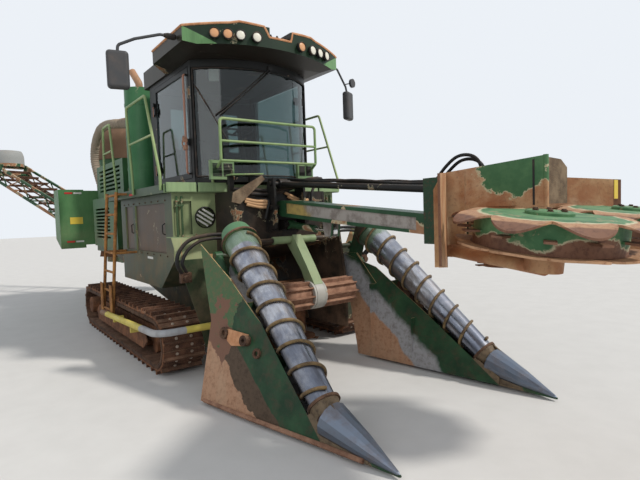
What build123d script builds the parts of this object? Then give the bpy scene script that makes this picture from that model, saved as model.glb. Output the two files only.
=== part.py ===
from build123d import *
import math
import os

# Tracked sugarcane harvester, full size, in millimetres.
# X points forward, Y to the machine's left, Z up; the floor is Z = 0.
# "Right" is the side at negative Y. Right-hand pieces are drawn, left-hand ones are mirrored.

# Tracks
TRACK_GAUGE = 2580        # centre to centre of the two tracks
SHOE_WIDTH = 460
TRACK_HEIGHT = 700        # over the grousers
GROUSER = 42              # height of a shoe's cross bar
BELT_THICKNESS = 75       # shoe plate and links together
SHOES = 50
IDLER_X = 2130            # front wheel
SPROCKET_X = -1250        # rear wheel
SEAT_GAP = 0.3            # between pieces that rest on each other

# Chassis
WALL_Y = 620              # inner face of a side wall
WALL = 30
CHASSIS_TOP = 2050
THROAT_FRONT = 2950
CHASSIS_REAR = -3400

# Ladder
LADDER_X = -20
LADDER_WIDTH = 520
LADDER_OUT = 1565         # how far out its foot stands
RUNG_PITCH = 270
LADDER_FOOT = 24          # how far its foot plates stand out from its rails' middle

# Platform and cabinets
DECK_Z = 2060
DECK_THICKNESS = 100
PAD_TOP = 2180            # top of the pale boxes at the front edge
DECK_HALF = 1300
DECK_FRONT = 2030
DECK_REAR = -700
POD_Y = 1200              # outer face of a side cabinet
POD_FRONT = 2000
POD_REAR = -200
POD_BOTTOM = 880

# Cab
CAB_HALF = 850
CAB_REAR = 350
POST_X = 1880             # front posts
CAB_NOSE = 2230           # windscreen's furthest point
RAIL_ROOM = 80            # from the windscreen to the front rail
CAB_FLOOR = 2186
CAB_FLOOR_THICKNESS = 60
CAB_HEAD = 3680           # underside of the roof
GLASS = 10
POST = 70
DOOR_REAR = 560
DOOR_FRONT = 1800
DOOR_THICKNESS = 40
DOOR_PIN = (559, -872)     # X, Y of the hinge line
DOOR_HINGES = (2450, 3290) # heights of the two hinges
ROOF_HALF = 1100
ROOF_NOSE = 2600
ROOF_CORNER_X = 2310
ROOF_WAIST_X = 1300
ROOF_REAR = 200
FASCIA_Z = 3740           # lower edge of the roof's front fascia
ROOF_EDGE = 3905          # its upper edge at the sides
ROOF_TOP = 3990
LAMP_Z = 3823

# Crop dividers
DIVIDER_HINGE = (2600, 1050)      # X, Z
TIP = (5430, 1000, 30)            # X, half spacing, Z
OUTER_HEEL = (3300, 1470, 30)     # rear lower corner of the outer plate
OUTER_TOP = (2820, 1200, 1480)
INNER_HEEL = (3150, 640, 30)
INNER_TOP = (2760, 760, 1240)
SCROLL_TOP = (3140, 910, 1490)
SCROLL_END = (4640, 1030, 290)
SCROLL_R_TOP = 165
SCROLL_R_END = 112
FLIGHT = 28
JOURNAL_R = 40             # the scroll's shaft at both ends
FLIGHT_TURNS = 8

DIVIDER_ARM_Y = 775               # inner face of the hinge arm
RAM_Y = 960
RAM_TOP = (2690, 1330)
RAM_END = (3100, 820)

# Knockdown roller
ROLLER_C = (3120, 840)            # X, Z
ROLLER_R = 120
ROLLER_HALF = 560
ARM_HINGE = (2760, 1460)

# Base cutter
CUTTER_X = 2250
CUTTER_Y = 330
CUTTER_R = 300
CUTTER_Z = 130

# Topper
LOWER_PIVOT = (2640, 1850)
UPPER_PIVOT = (2640, 2130)
ARM_RUN = 2380
ARM_DROP = 205
TOPPER_RAM_FOOT = (2690, 1640)
TOPPER_RAM_END = (3500, 1560)
ROTOR_X = 6200
ROTOR_Y = 560
ROTOR_R = 550
ROTOR_TOP = 1712
ROTOR_TILT = 7            # degrees nose-down
ROTOR_DEPTH = 192         # from its top disc to its underside
WING_END = (5900, 1130)   # X, Y of the gathering wall's outer end
WING_HEEL = (5200, 200)   # where it meets the wall of the middle
WALL_PEAK = (5880, 0)     # where the two middle walls meet
CUTTER_DISH = (5560, 215, 1330)   # X, radius and underside of the topper's own cutter

# Extractor and elevator
EXTRACTOR_X = -3240
EXTRACTOR_R = 850
RING_TOP = 3000
FAN_SEAT = 2560
HOOD_TOP = 3950
HOOD_SIDE = 340           # height of the hood's upright side
SLEW_X = -4720
SLEW_Z = 900
SLEW_DEG = 30             # how far the elevator is swung to the right as parked
ELEVATOR_RISE = 26        # its slope in degrees
ELEVATOR_LENGTH = 4400
ELEVATOR_HALF = 420
HITCH_X = -3660           # tow hitch
HITCH_Z = 830
HITCH_THICKNESS = 40
HITCH_BORE_R = 26
ELEVATOR_FOOT = (-60, 330)          # its hinge from the turntable's centre, X and Z

PIN_R = 30
TUBE_R = 17


def block(x0, x1, y0, y1, z0, z1):
    return Pos((x0 + x1) / 2, (y0 + y1) / 2, (z0 + z1) / 2) * Box(x1 - x0, y1 - y0, z1 - z0)


def side_plate(points, y0, y1):
    """A flat plate whose outline is given in X and Z, from y0 to y1."""
    face = make_face(Polyline([(x, 0, z) for x, z in points], close=True))
    return Pos(0, y0, 0) * extrude(face, amount=y1 - y0, dir=(0, 1, 0))


def floor_plate(points, z0, z1):
    """A flat plate whose outline is given in X and Y, from z0 to z1."""
    face = make_face(Polyline([(x, y, 0) for x, y in points], close=True))
    return Pos(0, 0, z0) * extrude(face, amount=z1 - z0, dir=(0, 0, 1))


def bar(start, end, radius, end_radius=None):
    """A round bar from one point to another, tapered if end_radius is given."""
    a, b = Vector(*start), Vector(*end)
    length = (b - a).length
    place = Plane(origin=(a + b) * 0.5, z_dir=(b - a).normalized())
    if end_radius is None:
        return place * Cylinder(radius, length)
    return place * Cone(radius, end_radius, length)


def rail(points, radius=TUBE_R, bend=60):
    """A bent round tube through the given points."""
    path = FilletPolyline(points, radius=bend) if len(points) > 2 else Polyline(points)
    return sweep(Plane(origin=path @ 0, z_dir=path % 0) * Circle(radius), path)


def mirrored(shape):
    return mirror(shape, about=Plane.XZ)


def front_plate(points, x0, x1):
    """A flat plate whose outline is given in Y and Z, from x0 to x1."""
    face = make_face(Polyline([(0, y, z) for y, z in points], close=True))
    return Pos(x0, 0, 0) * extrude(face, amount=x1 - x0, dir=(1, 0, 0))


def track():
    """The left endless track: a belt on two wheels with a shoe and its cross bar at each pitch."""
    middle = TRACK_HEIGHT / 2
    belt_r = middle - GROUSER
    run = IDLER_X - SPROCKET_X
    total = 2 * run + 2 * math.pi * belt_r
    pitch = total / SHOES

    def place(s):
        s = s % total
        if s < run:
            return IDLER_X - s, middle + belt_r, 90.0
        s -= run
        if s < math.pi * belt_r:
            turn = 90 + math.degrees(s / belt_r)
            return SPROCKET_X, middle, turn
        s -= math.pi * belt_r
        if s < run:
            return SPROCKET_X + s, middle - belt_r, 270.0
        turn = 270 + math.degrees((s - run) / belt_r)
        return IDLER_X, middle, turn

    def point(s, out):
        x, z, turn = place(s)
        c, n = math.cos(math.radians(turn)), math.sin(math.radians(turn))
        on_arc = z == middle
        reach = belt_r + out if on_arc else out
        return x + c * reach, z + n * reach

    outline = []
    for i in range(SHOES):
        s = i * pitch
        outline.append(point(s, -18))
        outline.append(point(s + 8, 0))
        outline.append(point(s + pitch * 0.42, 0))
        outline.append(point(s + pitch * 0.45, GROUSER))
        outline.append(point(s + pitch * 0.55, GROUSER))
        outline.append(point(s + pitch * 0.58, 0))
        outline.append(point(s + pitch - 8, 0))
    y0 = TRACK_GAUGE / 2 - SHOE_WIDTH / 2
    belt = side_plate(outline, y0, y0 + SHOE_WIDTH)
    inner_r = belt_r - BELT_THICKNESS
    hollow = block(SPROCKET_X, IDLER_X, y0 - 5, y0 + SHOE_WIDTH + 5, middle - inner_r, middle + inner_r)
    for x in (SPROCKET_X, IDLER_X):
        hollow += bar((x, y0 - 5, middle), (x, y0 + SHOE_WIDTH + 5, middle), inner_r)
    return belt - hollow


def track_frame():
    """The beam inside the left track with its wheels, rollers, side guard and cross tubes."""
    middle = TRACK_HEIGHT / 2
    wheel_r = middle - GROUSER - BELT_THICKNESS - SEAT_GAP
    c = TRACK_GAUGE / 2
    frame = block(-950, 1830, c - 90, c + 90, 255, 455)
    frame += block(1700, IDLER_X, c - 90, c - 60, 290, 410) + block(1700, IDLER_X, c + 60, c + 90, 290, 410)
    frame += block(SPROCKET_X, -900, c - 90, c - 60, 290, 410) + block(SPROCKET_X, -900, c + 60, c + 90, 290, 410)
    for x, half in ((IDLER_X, 55), (SPROCKET_X, 45)):
        frame += bar((x, c - half, middle), (x, c + half, middle), wheel_r)
        frame += bar((x, c - 110, middle), (x, c + 130, middle), 85)
        frame += block(x - 60, x + 60, c - 90, c + 90, middle - 60, middle + 60)
    frame += bar((SPROCKET_X, c, middle), (SPROCKET_X, c + 190, middle), 130)
    roller_z = TRACK_HEIGHT - 2 * middle + GROUSER + BELT_THICKNESS + SEAT_GAP + 95
    for i in range(7):
        x = -780 + i * 405
        frame += bar((x, c - 75, roller_z), (x, c + 75, roller_z), 95)
    for x in (-150, 1100):
        z = TRACK_HEIGHT - GROUSER - BELT_THICKNESS - SEAT_GAP - 55
        frame += bar((x, c - 60, z), (x, c + 60, z), 55) + block(x - 25, x + 25, c - 50, c + 50, 440, z)
    out = c + 200
    guard = side_plate([(-760, 190), (1600, 190), (1760, 300), (1640, 430), (-640, 430), (-820, 330)], -6, 6)
    frame += Pos(0, out, 0) * guard
    for x in (-500, 500, 1450):
        frame += bar((x, c, 350), (x, out, 350), 40)
    for x in (-560, 1400):
        frame += bar((x, c, 355), (x, WALL_Y + WALL + SEAT_GAP, 355), 80)
    return frame


def chassis():
    """Two side walls, the cross members between them, and the throat's cover plates."""
    wall = [(THROAT_FRONT, 330), (THROAT_FRONT, 900), (2840, 1540), (2560, 1560), (2520, CHASSIS_TOP),
            (CHASSIS_REAR, CHASSIS_TOP), (CHASSIS_REAR, 1150), (-1500, 760), (1200, 300)]
    body = side_plate(wall, WALL_Y, WALL_Y + WALL) + side_plate(wall, -WALL_Y - WALL, -WALL_Y)
    y = WALL_Y + 5
    cross_members = (   # x0, x1, z0, z1
        (2480, 2520, 1450, CHASSIS_TOP), (900, 2500, CHASSIS_TOP - 40, CHASSIS_TOP), (900, 1040, 1300, 1440),
        (-700, -560, 1150, 1290), (-2100, -1960, 1150, 1290), (-2150, -650, 1290, 1330),
        (CHASSIS_REAR, CHASSIS_REAR + 140, 1150, 1290), (CHASSIS_REAR, CHASSIS_REAR + 140, 1800, 1940))
    for x0, x1, z0, z1 in cross_members:
        body += block(x0, x1, -y, y, z0, z1)
    slope = [(2520, 1440), (2560, 1410), (1000, 1010), (1000, 1060)]
    body += side_plate(slope, -y, y)
    back = [(1000, 1060), (1000, 1010), (-1500, 1110), (-1500, 1160)]
    body += side_plate(back, -y, y)
    hx, hz = ARM_HINGE
    body += bar((hx, -y, hz), (hx, y, hz), PIN_R)
    hx, hz = DIVIDER_HINGE
    rx, rz = RAM_TOP
    for side in (1, -1):
        body += bar((hx, side * y, hz), (hx, side * (DIVIDER_ARM_Y - SEAT_GAP), hz), 80)
        body += bar((hx, side * y, hz), (hx, side * (DIVIDER_ARM_Y + 70), hz), PIN_R)
        body += bar((rx, side * y, rz), (rx, side * (RAM_Y + 40), rz), PIN_R)
    return body


def deck():
    """The platform round the cab, with its folded edge and pale front boxes."""
    slab = block(DECK_REAR, DECK_FRONT, -DECK_HALF, DECK_HALF, DECK_Z, DECK_Z + DECK_THICKNESS)
    for y0, y1 in ((-1280, -918), (-890, -520), (520, 890), (918, 1280)):
        slab += block(DECK_FRONT - 60, DECK_FRONT + 40, y0, y1, DECK_Z + 10, PAD_TOP)
    for x in (500, 1700):
        for y in (-600, 600):
            slab += bar((x, y, DECK_Z + 50), (x, y, CAB_FLOOR - SEAT_GAP), 90)
    return slab


def ladder():
    """The boarding ladder on the right: two rails that lean in at the top, with rungs and stays."""
    foot, head = (LADDER_OUT, 450), (LADDER_OUT - 130, 2150)
    body = None
    for x in (LADDER_X, LADDER_X + LADDER_WIDTH):
        side = bar((x, -foot[0], foot[1]), (x, -head[0], head[1]), 22)
        body = side if body is None else body + side
        body += bar((x, -head[0] + 2, 2120), (x, -DECK_HALF - SEAT_GAP, 2120), 17)
        body += bar((x, -1520, 1300), (x, -POD_Y - SEAT_GAP, 1300), 17)
        body += block(x - 60, x + 60, -foot[0] - LADDER_FOOT, -foot[0] - 12, foot[1] - 10, 860)
    for i in range(7):
        z = foot[1] + 40 + i * RUNG_PITCH
        y = -foot[0] + (z - foot[1]) / (head[1] - foot[1]) * (foot[0] - head[0])
        body += bar((LADDER_X, y, z), (LADDER_X + LADDER_WIDTH, y, z), 17)
    return body


def side_rails():
    """The two tube rails beside the left edge of the platform, each with its middle bar."""
    foot, bend = DECK_Z + 30, DECK_Z + 190
    y = DECK_HALF + SEAT_GAP + TUBE_R
    front = rail([(1990, y, foot), (1990, y, bend + 20), (1580, y, 3260), (760, y, 3260), (900, y, bend), (900, y, foot)])
    rear = rail([(60, y, foot), (60, y, bend), (-160, y, 3200), (-560, y, 3200), (-640, y, bend), (-640, y, foot)])
    front += bar((821, y, 2760), (1779, y, 2760), 14)
    rear += bar((-76, y, 2800), (-590, y, 2800), 14)
    return [front, rear]


def guard_tube():
    """The bar that leads the cane round the right track's front, on two lugs and the side wall."""
    y = -(LADDER_OUT + LADDER_FOOT + SEAT_GAP + 38)
    body = rail([(150, y, 446), (2560, y, 548), (2560, -WALL_Y - WALL - SEAT_GAP, 548)], radius=38, bend=170)
    out = TRACK_GAUGE / 2 + 206 + SEAT_GAP
    for x in (760, 1560):
        body += block(x - 20, x + 20, y, -out, 395, 470)
    return body


def front_rail():
    """Three bars across the front of the cab on two end posts."""
    x, far, half = DECK_FRONT + 20, CAB_NOSE + RAIL_ROOM, 690
    base = PAD_TOP + SEAT_GAP
    frame = rail([(x, -half, base), (x, -half, base + 80), (far, -half, 2430), (far, -half, 2920),
                  (far, half, 2920), (far, half, 2430), (x, half, base + 80), (x, half, base)], bend=45)
    for z in (2425, 2657):
        frame += bar((far, -half, z), (far, half, z), 15)
    return frame


def cabinet():
    """The left cabinet below the platform, with recessed panels and its slanted lower edge."""
    outline = [(POD_REAR, POD_BOTTOM), (1500, POD_BOTTOM), (POD_FRONT, 1250), (POD_FRONT, DECK_Z),
               (POD_REAR, DECK_Z)]
    inner = WALL_Y + WALL
    body = side_plate(outline, inner, POD_Y)
    for x0, x1 in ((20, 420), (520, 1750)):
        body -= block(x0, x1, POD_Y - 20, POD_Y + 5, 1330, 1950)
    body -= block(POD_FRONT - 30, POD_FRONT + 5, 960, 1180, 1560, 1960)
    body -= bar((POD_FRONT - 80, 790, 1760), (POD_FRONT + 5, 790, 1760), 130)
    return body


def engine():
    return block(-2050, -750, -380, 380, 1330 + SEAT_GAP, 2040)


def engine_cover():
    """The hood behind the cab, hollow below, with grille slots in its sides and a corner left for the exhaust."""
    body = block(-2350, -560, -1050, 1050, DECK_Z + DECK_THICKNESS, 2760)
    body += block(-570, 150, -530, 1050, DECK_Z + DECK_THICKNESS, 2760)
    body += block(-2350, DECK_REAR - SEAT_GAP, -1150, 1150, 1300, DECK_Z + DECK_THICKNESS)
    body -= block(-2320, -590, -1020, 1020, DECK_Z + 60, 2730) + block(-600, 120, -500, 1020, DECK_Z + 60, 2730)
    body -= block(-2320, DECK_REAR - 30, -1120, 1120, 1270, DECK_Z + 70)
    body -= block(-2400, DECK_REAR, -WALL_Y - WALL - SEAT_GAP, WALL_Y + WALL + SEAT_GAP, 1200, DECK_Z)
    for side in (1, -1):
        for i in range(9):
            z = 1450 + i * 62
            body -= block(-2150, -1150, side * 1135 - 30, side * 1135 + 30, z, z + 34)
        for i in range(6):
            z = 2280 + i * 70
            body -= block(-2150, -750, side * 1035 - 30, side * 1035 + 30, z, z + 38)
    return body


def exhaust():
    """The tall open shroud behind the cab with its bent pipe."""
    x, y = -300, -800
    body = bar((x, y, DECK_Z + DECK_THICKNESS + SEAT_GAP), (x, y, 3800), 232) - bar((x, y, 3480), (x, y, 3805), 222)
    return body + rail([(x, y, 3470), (x, y, 3905), (x - 150, y - 55, 4120)], radius=56, bend=80)


def air_cleaner():
    x, y = -820, -640
    body = bar((x, y, 2760 + SEAT_GAP), (x, y, 3560), 140)
    return body + bar((x, y, 3540), (x, y, 3680), 180)


def extractor_base():
    """The cleaning chamber's walls and the round collar that the hood turns on."""
    y = 740
    x0, x1 = CHASSIS_REAR - 720, -2360
    body = block(x0, x1, -y, y, 1100, 2300) - block(x0 - 5, x1 - 40, -y + 40, y - 40, 1095, 2260)
    body -= block(x0 - 5, x1 + 5, -WALL_Y - WALL - SEAT_GAP, WALL_Y + WALL + SEAT_GAP, 1000, CHASSIS_TOP)
    ring = bar((EXTRACTOR_X, 0, 2260), (EXTRACTOR_X, 0, RING_TOP), EXTRACTOR_R)
    bore = bar((EXTRACTOR_X, 0, 2200), (EXTRACTOR_X, 0, RING_TOP + 5), EXTRACTOR_R - 35)
    body = (body + ring) - bore
    for a in (0, 90, 180, 270):
        dx, dy = math.cos(math.radians(a)), math.sin(math.radians(a))
        body += bar((EXTRACTOR_X + 100 * dx, 100 * dy, 2480),
                    (EXTRACTOR_X + (EXTRACTOR_R - 20) * dx, (EXTRACTOR_R - 20) * dy, 2480), 30)
    body += bar((EXTRACTOR_X, 0, 2400), (EXTRACTOR_X, 0, FAN_SEAT), 120)
    return body


def extractor_fan():
    """Three tilted blades on a hub."""
    z = 2700
    body = bar((EXTRACTOR_X, 0, FAN_SEAT + SEAT_GAP), (EXTRACTOR_X, 0, 2790), 110)
    for i in range(3):
        blade = Pos(430, 0, 0) * (Rot(32, 0, 0) * Box(680, 230, 16))
        body += Pos(EXTRACTOR_X, 0, z) * (Rot(0, 0, 120 * i) * blade)
    return body


def extractor_hood():
    """The domed hood on the collar, cut open to the rear."""
    x, z, side = EXTRACTOR_X, RING_TOP + SEAT_GAP, HOOD_SIDE
    r, t = EXTRACTOR_R + 20, 25
    dome = Sphere(r) & Pos(0, 0, r / 2) * Box(2 * r, 2 * r, r)
    high = HOOD_TOP - z - side
    shell = bar((x, 0, z), (x, 0, z + side), r) + Pos(x, 0, z + side) * scale(dome, by=(1, 1, high / r))
    narrow = (r - t) / r
    hollow = bar((x, 0, z - 5), (x, 0, z + side + 1), r - t)
    hollow += Pos(x, 0, z + side) * scale(dome, by=(narrow, narrow, (high - t) / r))
    mouth = block(x - r - 10, x - 330, -r - 5, r + 5, z + 60, HOOD_TOP + 5)
    return shell - hollow - mouth


def cutter_legs():
    """The gearbox across the throat and the two legs of the base cutter."""
    body = block(CUTTER_X - 130, CUTTER_X + 130, -WALL_Y + SEAT_GAP, WALL_Y - SEAT_GAP, 700, 880)
    for side in (1, -1):
        body += bar((CUTTER_X, side * CUTTER_Y, 720), (CUTTER_X, side * CUTTER_Y, CUTTER_Z + 57 + SEAT_GAP), 120)
    return body


def cutter_disc(side):
    """A base cutter disc with its blades."""
    x, y = CUTTER_X, side * CUTTER_Y
    body = bar((x, y, CUTTER_Z), (x, y, CUTTER_Z + 20), 240)
    body += bar((x, y, CUTTER_Z + 10), (x, y, CUTTER_Z + 57), 90)
    for i in range(5):
        blade = Pos(240, 0, 0) * Box(110, 80, 10)
        body += Pos(x, y, CUTTER_Z - 5) * (Rot(0, 0, 72 * i + 36 * (side > 0)) * blade)
    return body


def cab_outline(inset, z0, z1):
    """The cab's plan, with its bowed front, pulled in by inset."""
    h, r, p, n = CAB_HALF - inset, CAB_REAR + inset, POST_X - inset * 0.3, CAB_NOSE - inset
    edges = [Line((r, -h), (p, -h)), ThreePointArc((p, -h), (n, 0), (p, h)), Line((p, h), (r, h)),
             Line((r, h), (r, -h))]
    face = make_face(Wire(edges))
    return Pos(0, 0, z0) * extrude(face, amount=z1 - z0, dir=(0, 0, 1))


def cab_frame():
    """Floor, head ring, four posts, sills, left window frame and rear wall of the cab."""
    floor_top = CAB_FLOOR + CAB_FLOOR_THICKNESS
    body = cab_outline(0, CAB_FLOOR, floor_top)
    ring = cab_outline(0, CAB_HEAD - 90, CAB_HEAD) - cab_outline(90, CAB_HEAD - 95, CAB_HEAD + 5)
    body += ring
    h = CAB_HALF
    for side in (1, -1):
        y0, y1 = (h - POST, h) if side > 0 else (-h, -h + POST)
        body += block(DOOR_FRONT + 12, POST_X, y0, y1, floor_top - 1, CAB_HEAD - 80)
        body += block(CAB_REAR, DOOR_REAR - 12, y0, y1, floor_top - 1, CAB_HEAD - 80)
    rear = block(CAB_REAR, CAB_REAR + 40, -h + 20, h - 20, floor_top - 1, CAB_HEAD - 80)
    rear -= block(CAB_REAR - 5, CAB_REAR + 45, -560, 560, 2800, 3400)
    body += rear
    body -= block(DOOR_REAR - 12, DOOR_FRONT + 12, -h - 5, -h + 50, floor_top, CAB_HEAD - 60)
    body -= block(DOOR_REAR - 12, DOOR_FRONT + 12, h - 50, h + 5, floor_top + 20, CAB_HEAD - 60)
    hx, hy = DOOR_PIN
    for z in DOOR_HINGES:
        body += bar((hx, hy, z + 70 + SEAT_GAP), (hx, hy, z + 125), 15)
        body += block(hx - 75, hx - 8, hy - 8, -h + 1, z + 76, z + 118)
    return body


def cab_glass():
    """The bowed windscreen, the left side pane and the rear pane."""
    floor_top = CAB_FLOOR + CAB_FLOOR_THICKNESS + SEAT_GAP
    head = CAB_HEAD - 90 - SEAT_GAP
    band = cab_outline(15, floor_top, head) - cab_outline(15 + GLASS, floor_top - 5, head + 5)
    screen = band & block(POST_X + SEAT_GAP, CAB_NOSE + 5, -CAB_HALF, CAB_HALF, floor_top - 5, head + 5)
    g = SEAT_GAP
    left = block(DOOR_REAR - 12 + g, DOOR_FRONT + 12 - g, CAB_HALF - 40, CAB_HALF - 30, floor_top + 20, head)
    back = block(CAB_REAR + 12, CAB_REAR + 20, -560 + g, 560 - g, 2800 + g, 3400 - g)
    return [screen, left, back]


def cab_door():
    """The right-hand door: a frame round one tall pane, with its grab rod."""
    y0 = -CAB_HALF - 4
    y1 = y0 + DOOR_THICKNESS
    z0, z1 = CAB_FLOOR + CAB_FLOOR_THICKNESS + 6, CAB_HEAD - 68
    x0, x1 = DOOR_REAR - 6, DOOR_FRONT + 6
    frame = block(x0, x1, y0, y1, z0, z1) - block(x0 + 55, x1 - 55, y0 - 5, y1 + 5, z0 + 70, z1 - 60)
    rod_x, rod_y = x1 - 30, y0 - 45
    frame += rail([(rod_x, y0 + 2, z0 + 60), (rod_x, rod_y, z0 + 60), (rod_x, rod_y, z1 - 90),
                   (rod_x, y0 + 2, z1 - 90)], radius=13, bend=25)
    frame += block(rod_x - 40, rod_x + 15, y0 - 24, y0 + 2, 2660, 2740)
    hx, hy = DOOR_PIN
    for z in DOOR_HINGES:
        frame += bar((hx, hy, z - 70), (hx, hy, z + 70), 15)
        frame += block(hx, x0 + 60, hy - 8, y0 + 2, z - 40, z + 40)
    pane = block(x0 + 55 + SEAT_GAP, x1 - 55 - SEAT_GAP, y0 + 15, y0 + 25, z0 + 70 + SEAT_GAP, z1 - 60 - SEAT_GAP)
    return frame, pane


def roof_outline(inset, z0, z1):
    h, w = ROOF_HALF - inset, CAB_HALF + 30 - inset
    n, c, q, r = ROOF_NOSE - inset, ROOF_CORNER_X - inset, ROOF_WAIST_X + inset * 0.5, ROOF_REAR + inset
    edges = [Line((r, -w), (q - 180, -w)), Line((q - 180, -w), (q, -h)), Line((q, -h), (c, -h)),
             ThreePointArc((c, -h), (n, 0), (c, h)), Line((c, h), (q, h)), Line((q, h), (q - 180, w)),
             Line((q - 180, w), (r, w)), Line((r, w), (r, -w))]
    face = make_face(Wire(edges))
    return Pos(0, 0, z0) * extrude(face, amount=z1 - z0, dir=(0, 0, 1))


def cab_roof():
    """The roof cap: its underside slopes out to the fascia, whose top edge rises to a notch in the middle."""
    base = CAB_HEAD + SEAT_GAP
    near, far = CAB_HALF + 20, ROOF_HALF + 5
    half = [(near, base), (far, FASCIA_Z), (far, ROOF_EDGE), (600, ROOF_TOP - 25), (500, ROOF_TOP),
            (200, ROOF_TOP - 15)]
    body = roof_outline(0, base, ROOF_TOP + 5)
    body &= front_plate(half + [(-y, z) for y, z in reversed(half)], ROOF_REAR - 5, ROOF_NOSE + 5)
    body -= block(2150, 2700, -130, 165, ROOF_TOP - 130, ROOF_TOP + 5)
    nose = [(CAB_NOSE + 10, base - 5), (CAB_NOSE + 10, base), (ROOF_NOSE + 20, FASCIA_Z), (ROOF_NOSE + 20, base - 5)]
    return body - side_plate(nose, -1200, 1200)


LAMPS = [-780, -640, -500, -310, 310, 500, 640, 780]


def roof_lamps():
    """Eight round work lamps on the roof's bowed front, each square to it."""
    sag = ROOF_NOSE - ROOF_CORNER_X
    r = (ROOF_HALF ** 2 + sag ** 2) / (2 * sag)
    z = LAMP_Z
    lamps = []
    for y in LAMPS:
        out_x, out_y = math.sqrt(r * r - y * y) / r, y / r
        centre = ROOF_NOSE - r
        near, far = r + SEAT_GAP, r + 40
        lamps.append(bar((centre + near * out_x, near * out_y, z), (centre + far * out_x, far * out_y, z), 58))
    return lamps


def mirrors():
    """Each mirror head hangs from an arm at the roof's corner, the left one closer in and with a round one above."""
    edge = ROOF_HALF + SEAT_GAP
    arm = rail([(2150, -edge, 3815), (2150, -1290, 3815), (2110, -1560, 3730), (2062, -1728, 3650),
                (2055, -1735, 3550)], radius=16, bend=50)
    head = fillet((Pos(2050, -1735, 3385) * (Rot(0, 0, -12) * Box(110, 230, 410))).edges(), 40)
    near_arm = rail([(2200, edge, 3790), (2200, 1200, 3790), (2200, 1350, 3560), (2200, 1375, 3460)], radius=14,
                    bend=40)
    near_head = fillet((Pos(2200, 1385, 3290) * (Rot(0, 0, 25) * Box(100, 190, 400))).edges(), 36)
    round_one = bar((2200, 1330, 3590), (2210, 1450, 3625), 8) + bar((2190, 1465, 3625), (2222, 1475, 3625), 62)
    return [arm + head, near_arm + near_head + round_one]


def seat():
    top = CAB_FLOOR + CAB_FLOOR_THICKNESS + SEAT_GAP
    x = 850
    body = block(x - 200, x + 200, -180, 180, top, top + 330)
    body += block(x - 250, x + 270, -260, 260, top + 330, top + 450)
    body += Pos(x - 250, 0, top + 780) * (Rot(0, -12, 0) * Box(120, 500, 740))
    return body


def console():
    """The steering column with its wheel, and the side console."""
    top = CAB_FLOOR + CAB_FLOOR_THICKNESS + SEAT_GAP
    column = block(1560, 1720, -90, 90, top, top + 60) + bar((1640, 0, top + 50), (1466, 0, top + 722), 45, 30)
    wheel = Pos(1465, 0, top + 720) * (Rot(0, -14, 0) * Torus(190, 15))
    spoke = Pos(1465, 0, top + 720) * (Rot(0, -14, 0) * (Box(380, 30, 14) + Box(30, 380, 14)))
    side = block(650, 1250, -520, -330, top, top + 560)
    return [column + wheel + spoke, side]


def topper_mast():
    """The bracket on the chassis front that carries the topper arms and their ram."""
    x0 = 2520 + SEAT_GAP
    lx, lz = LOWER_PIVOT
    ux, uz = UPPER_PIVOT
    body = block(x0, x0 + 24, -240, 240, 1560, 2040)
    for y in (-210, 210):
        body += side_plate([(x0, 1560), (lx + 60, 1600), (lx + 90, 1700), (ux + 60, uz + 60), (ux - 60, uz + 60),
                            (x0, 2040)], y - 15, y + 15)
    for x, z in (LOWER_PIVOT, UPPER_PIVOT):
        body += bar((x, -250, z), (x, 250, z), PIN_R)
    rx, rz = TOPPER_RAM_FOOT
    for y in (-58, 58):
        body += side_plate([(x0, 1565), (x0, 1700), (rx + 20, rz + 50), (rx + 60, rz), (rx, rz - 45)], y - 12, y + 12)
    return body + bar((rx, -85, rz), (rx, 85, rz), PIN_R)


def arm_end(pivot):
    return pivot[0] + ARM_RUN, pivot[1] - ARM_DROP


def lower_arm():
    """The tapered plate beam of the topper, bored on its two pins."""
    (x0, z0), (x1, z1) = LOWER_PIVOT, arm_end(LOWER_PIVOT)
    beam = side_plate([(x0 - 60, z0 - 60), (x0 + 60, z0 - 110), (x0 + 1100, z0 - 200), (x1 - 80, z1 - 90),
                       (x1 + 60, z1 - 50), (x1 + 60, z1 + 60), (x1 - 60, z1 + 80), (x0 + 60, z0 + 80),
                       (x0 - 60, z0 + 60)], -130, 130)
    beam -= side_plate([(x0 + 160, z0 - 75), (x0 + 1100, z0 - 165), (x1 - 200, z1 - 55), (x1 - 200, z1 + 55),
                        (x0 + 160, z0 + 45)], 115, 140)
    beam -= side_plate([(x0 + 160, z0 - 75), (x0 + 1100, z0 - 165), (x1 - 200, z1 - 55), (x1 - 200, z1 + 55),
                        (x0 + 160, z0 + 45)], -140, -115)
    rx, rz = TOPPER_RAM_END
    for y in (-48, 48):
        beam += side_plate([(rx - 90, rz + 140), (rx - 50, rz - 50), (rx + 50, rz - 50), (rx + 90, rz + 140)],
                           y - 12, y + 12)
    beam -= block(x0 - 100, 3420, -80, 80, 1500, z0 - 75)
    beam += bar((rx, -62, rz), (rx, 62, rz), PIN_R)
    for x, z in ((x0, z0), (x1, z1)):
        beam -= bar((x, -140, z), (x, 140, z), PIN_R + 0.06)
    return beam


def upper_arm():
    """The two tubes above the beam that keep the head level."""
    (x0, z0), (x1, z1) = UPPER_PIVOT, arm_end(UPPER_PIVOT)
    body = bar((x0, -120, z0), (x0, 120, z0), 60) + bar((x1, -120, z1), (x1, 120, z1), 55)
    for y in (-85, 85):
        body += bar((x0, y, z0), (x1, y, z1), 32)
    body -= bar((x0, -140, z0), (x0, 140, z0), PIN_R + 0.06)
    body -= bar((x1, -140, z1), (x1, 140, z1), PIN_R + 6)
    return body


def wall(start, end, start_z, end_z, thickness, outward):
    """An upright plate between two points given as X and Y, each with its own low and high Z."""
    corners = [(*start, start_z[0]), (*end, end_z[0]), (*end, end_z[1]), (*start, start_z[1])]
    return lean_plate(corners, thickness, outward)


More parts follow.
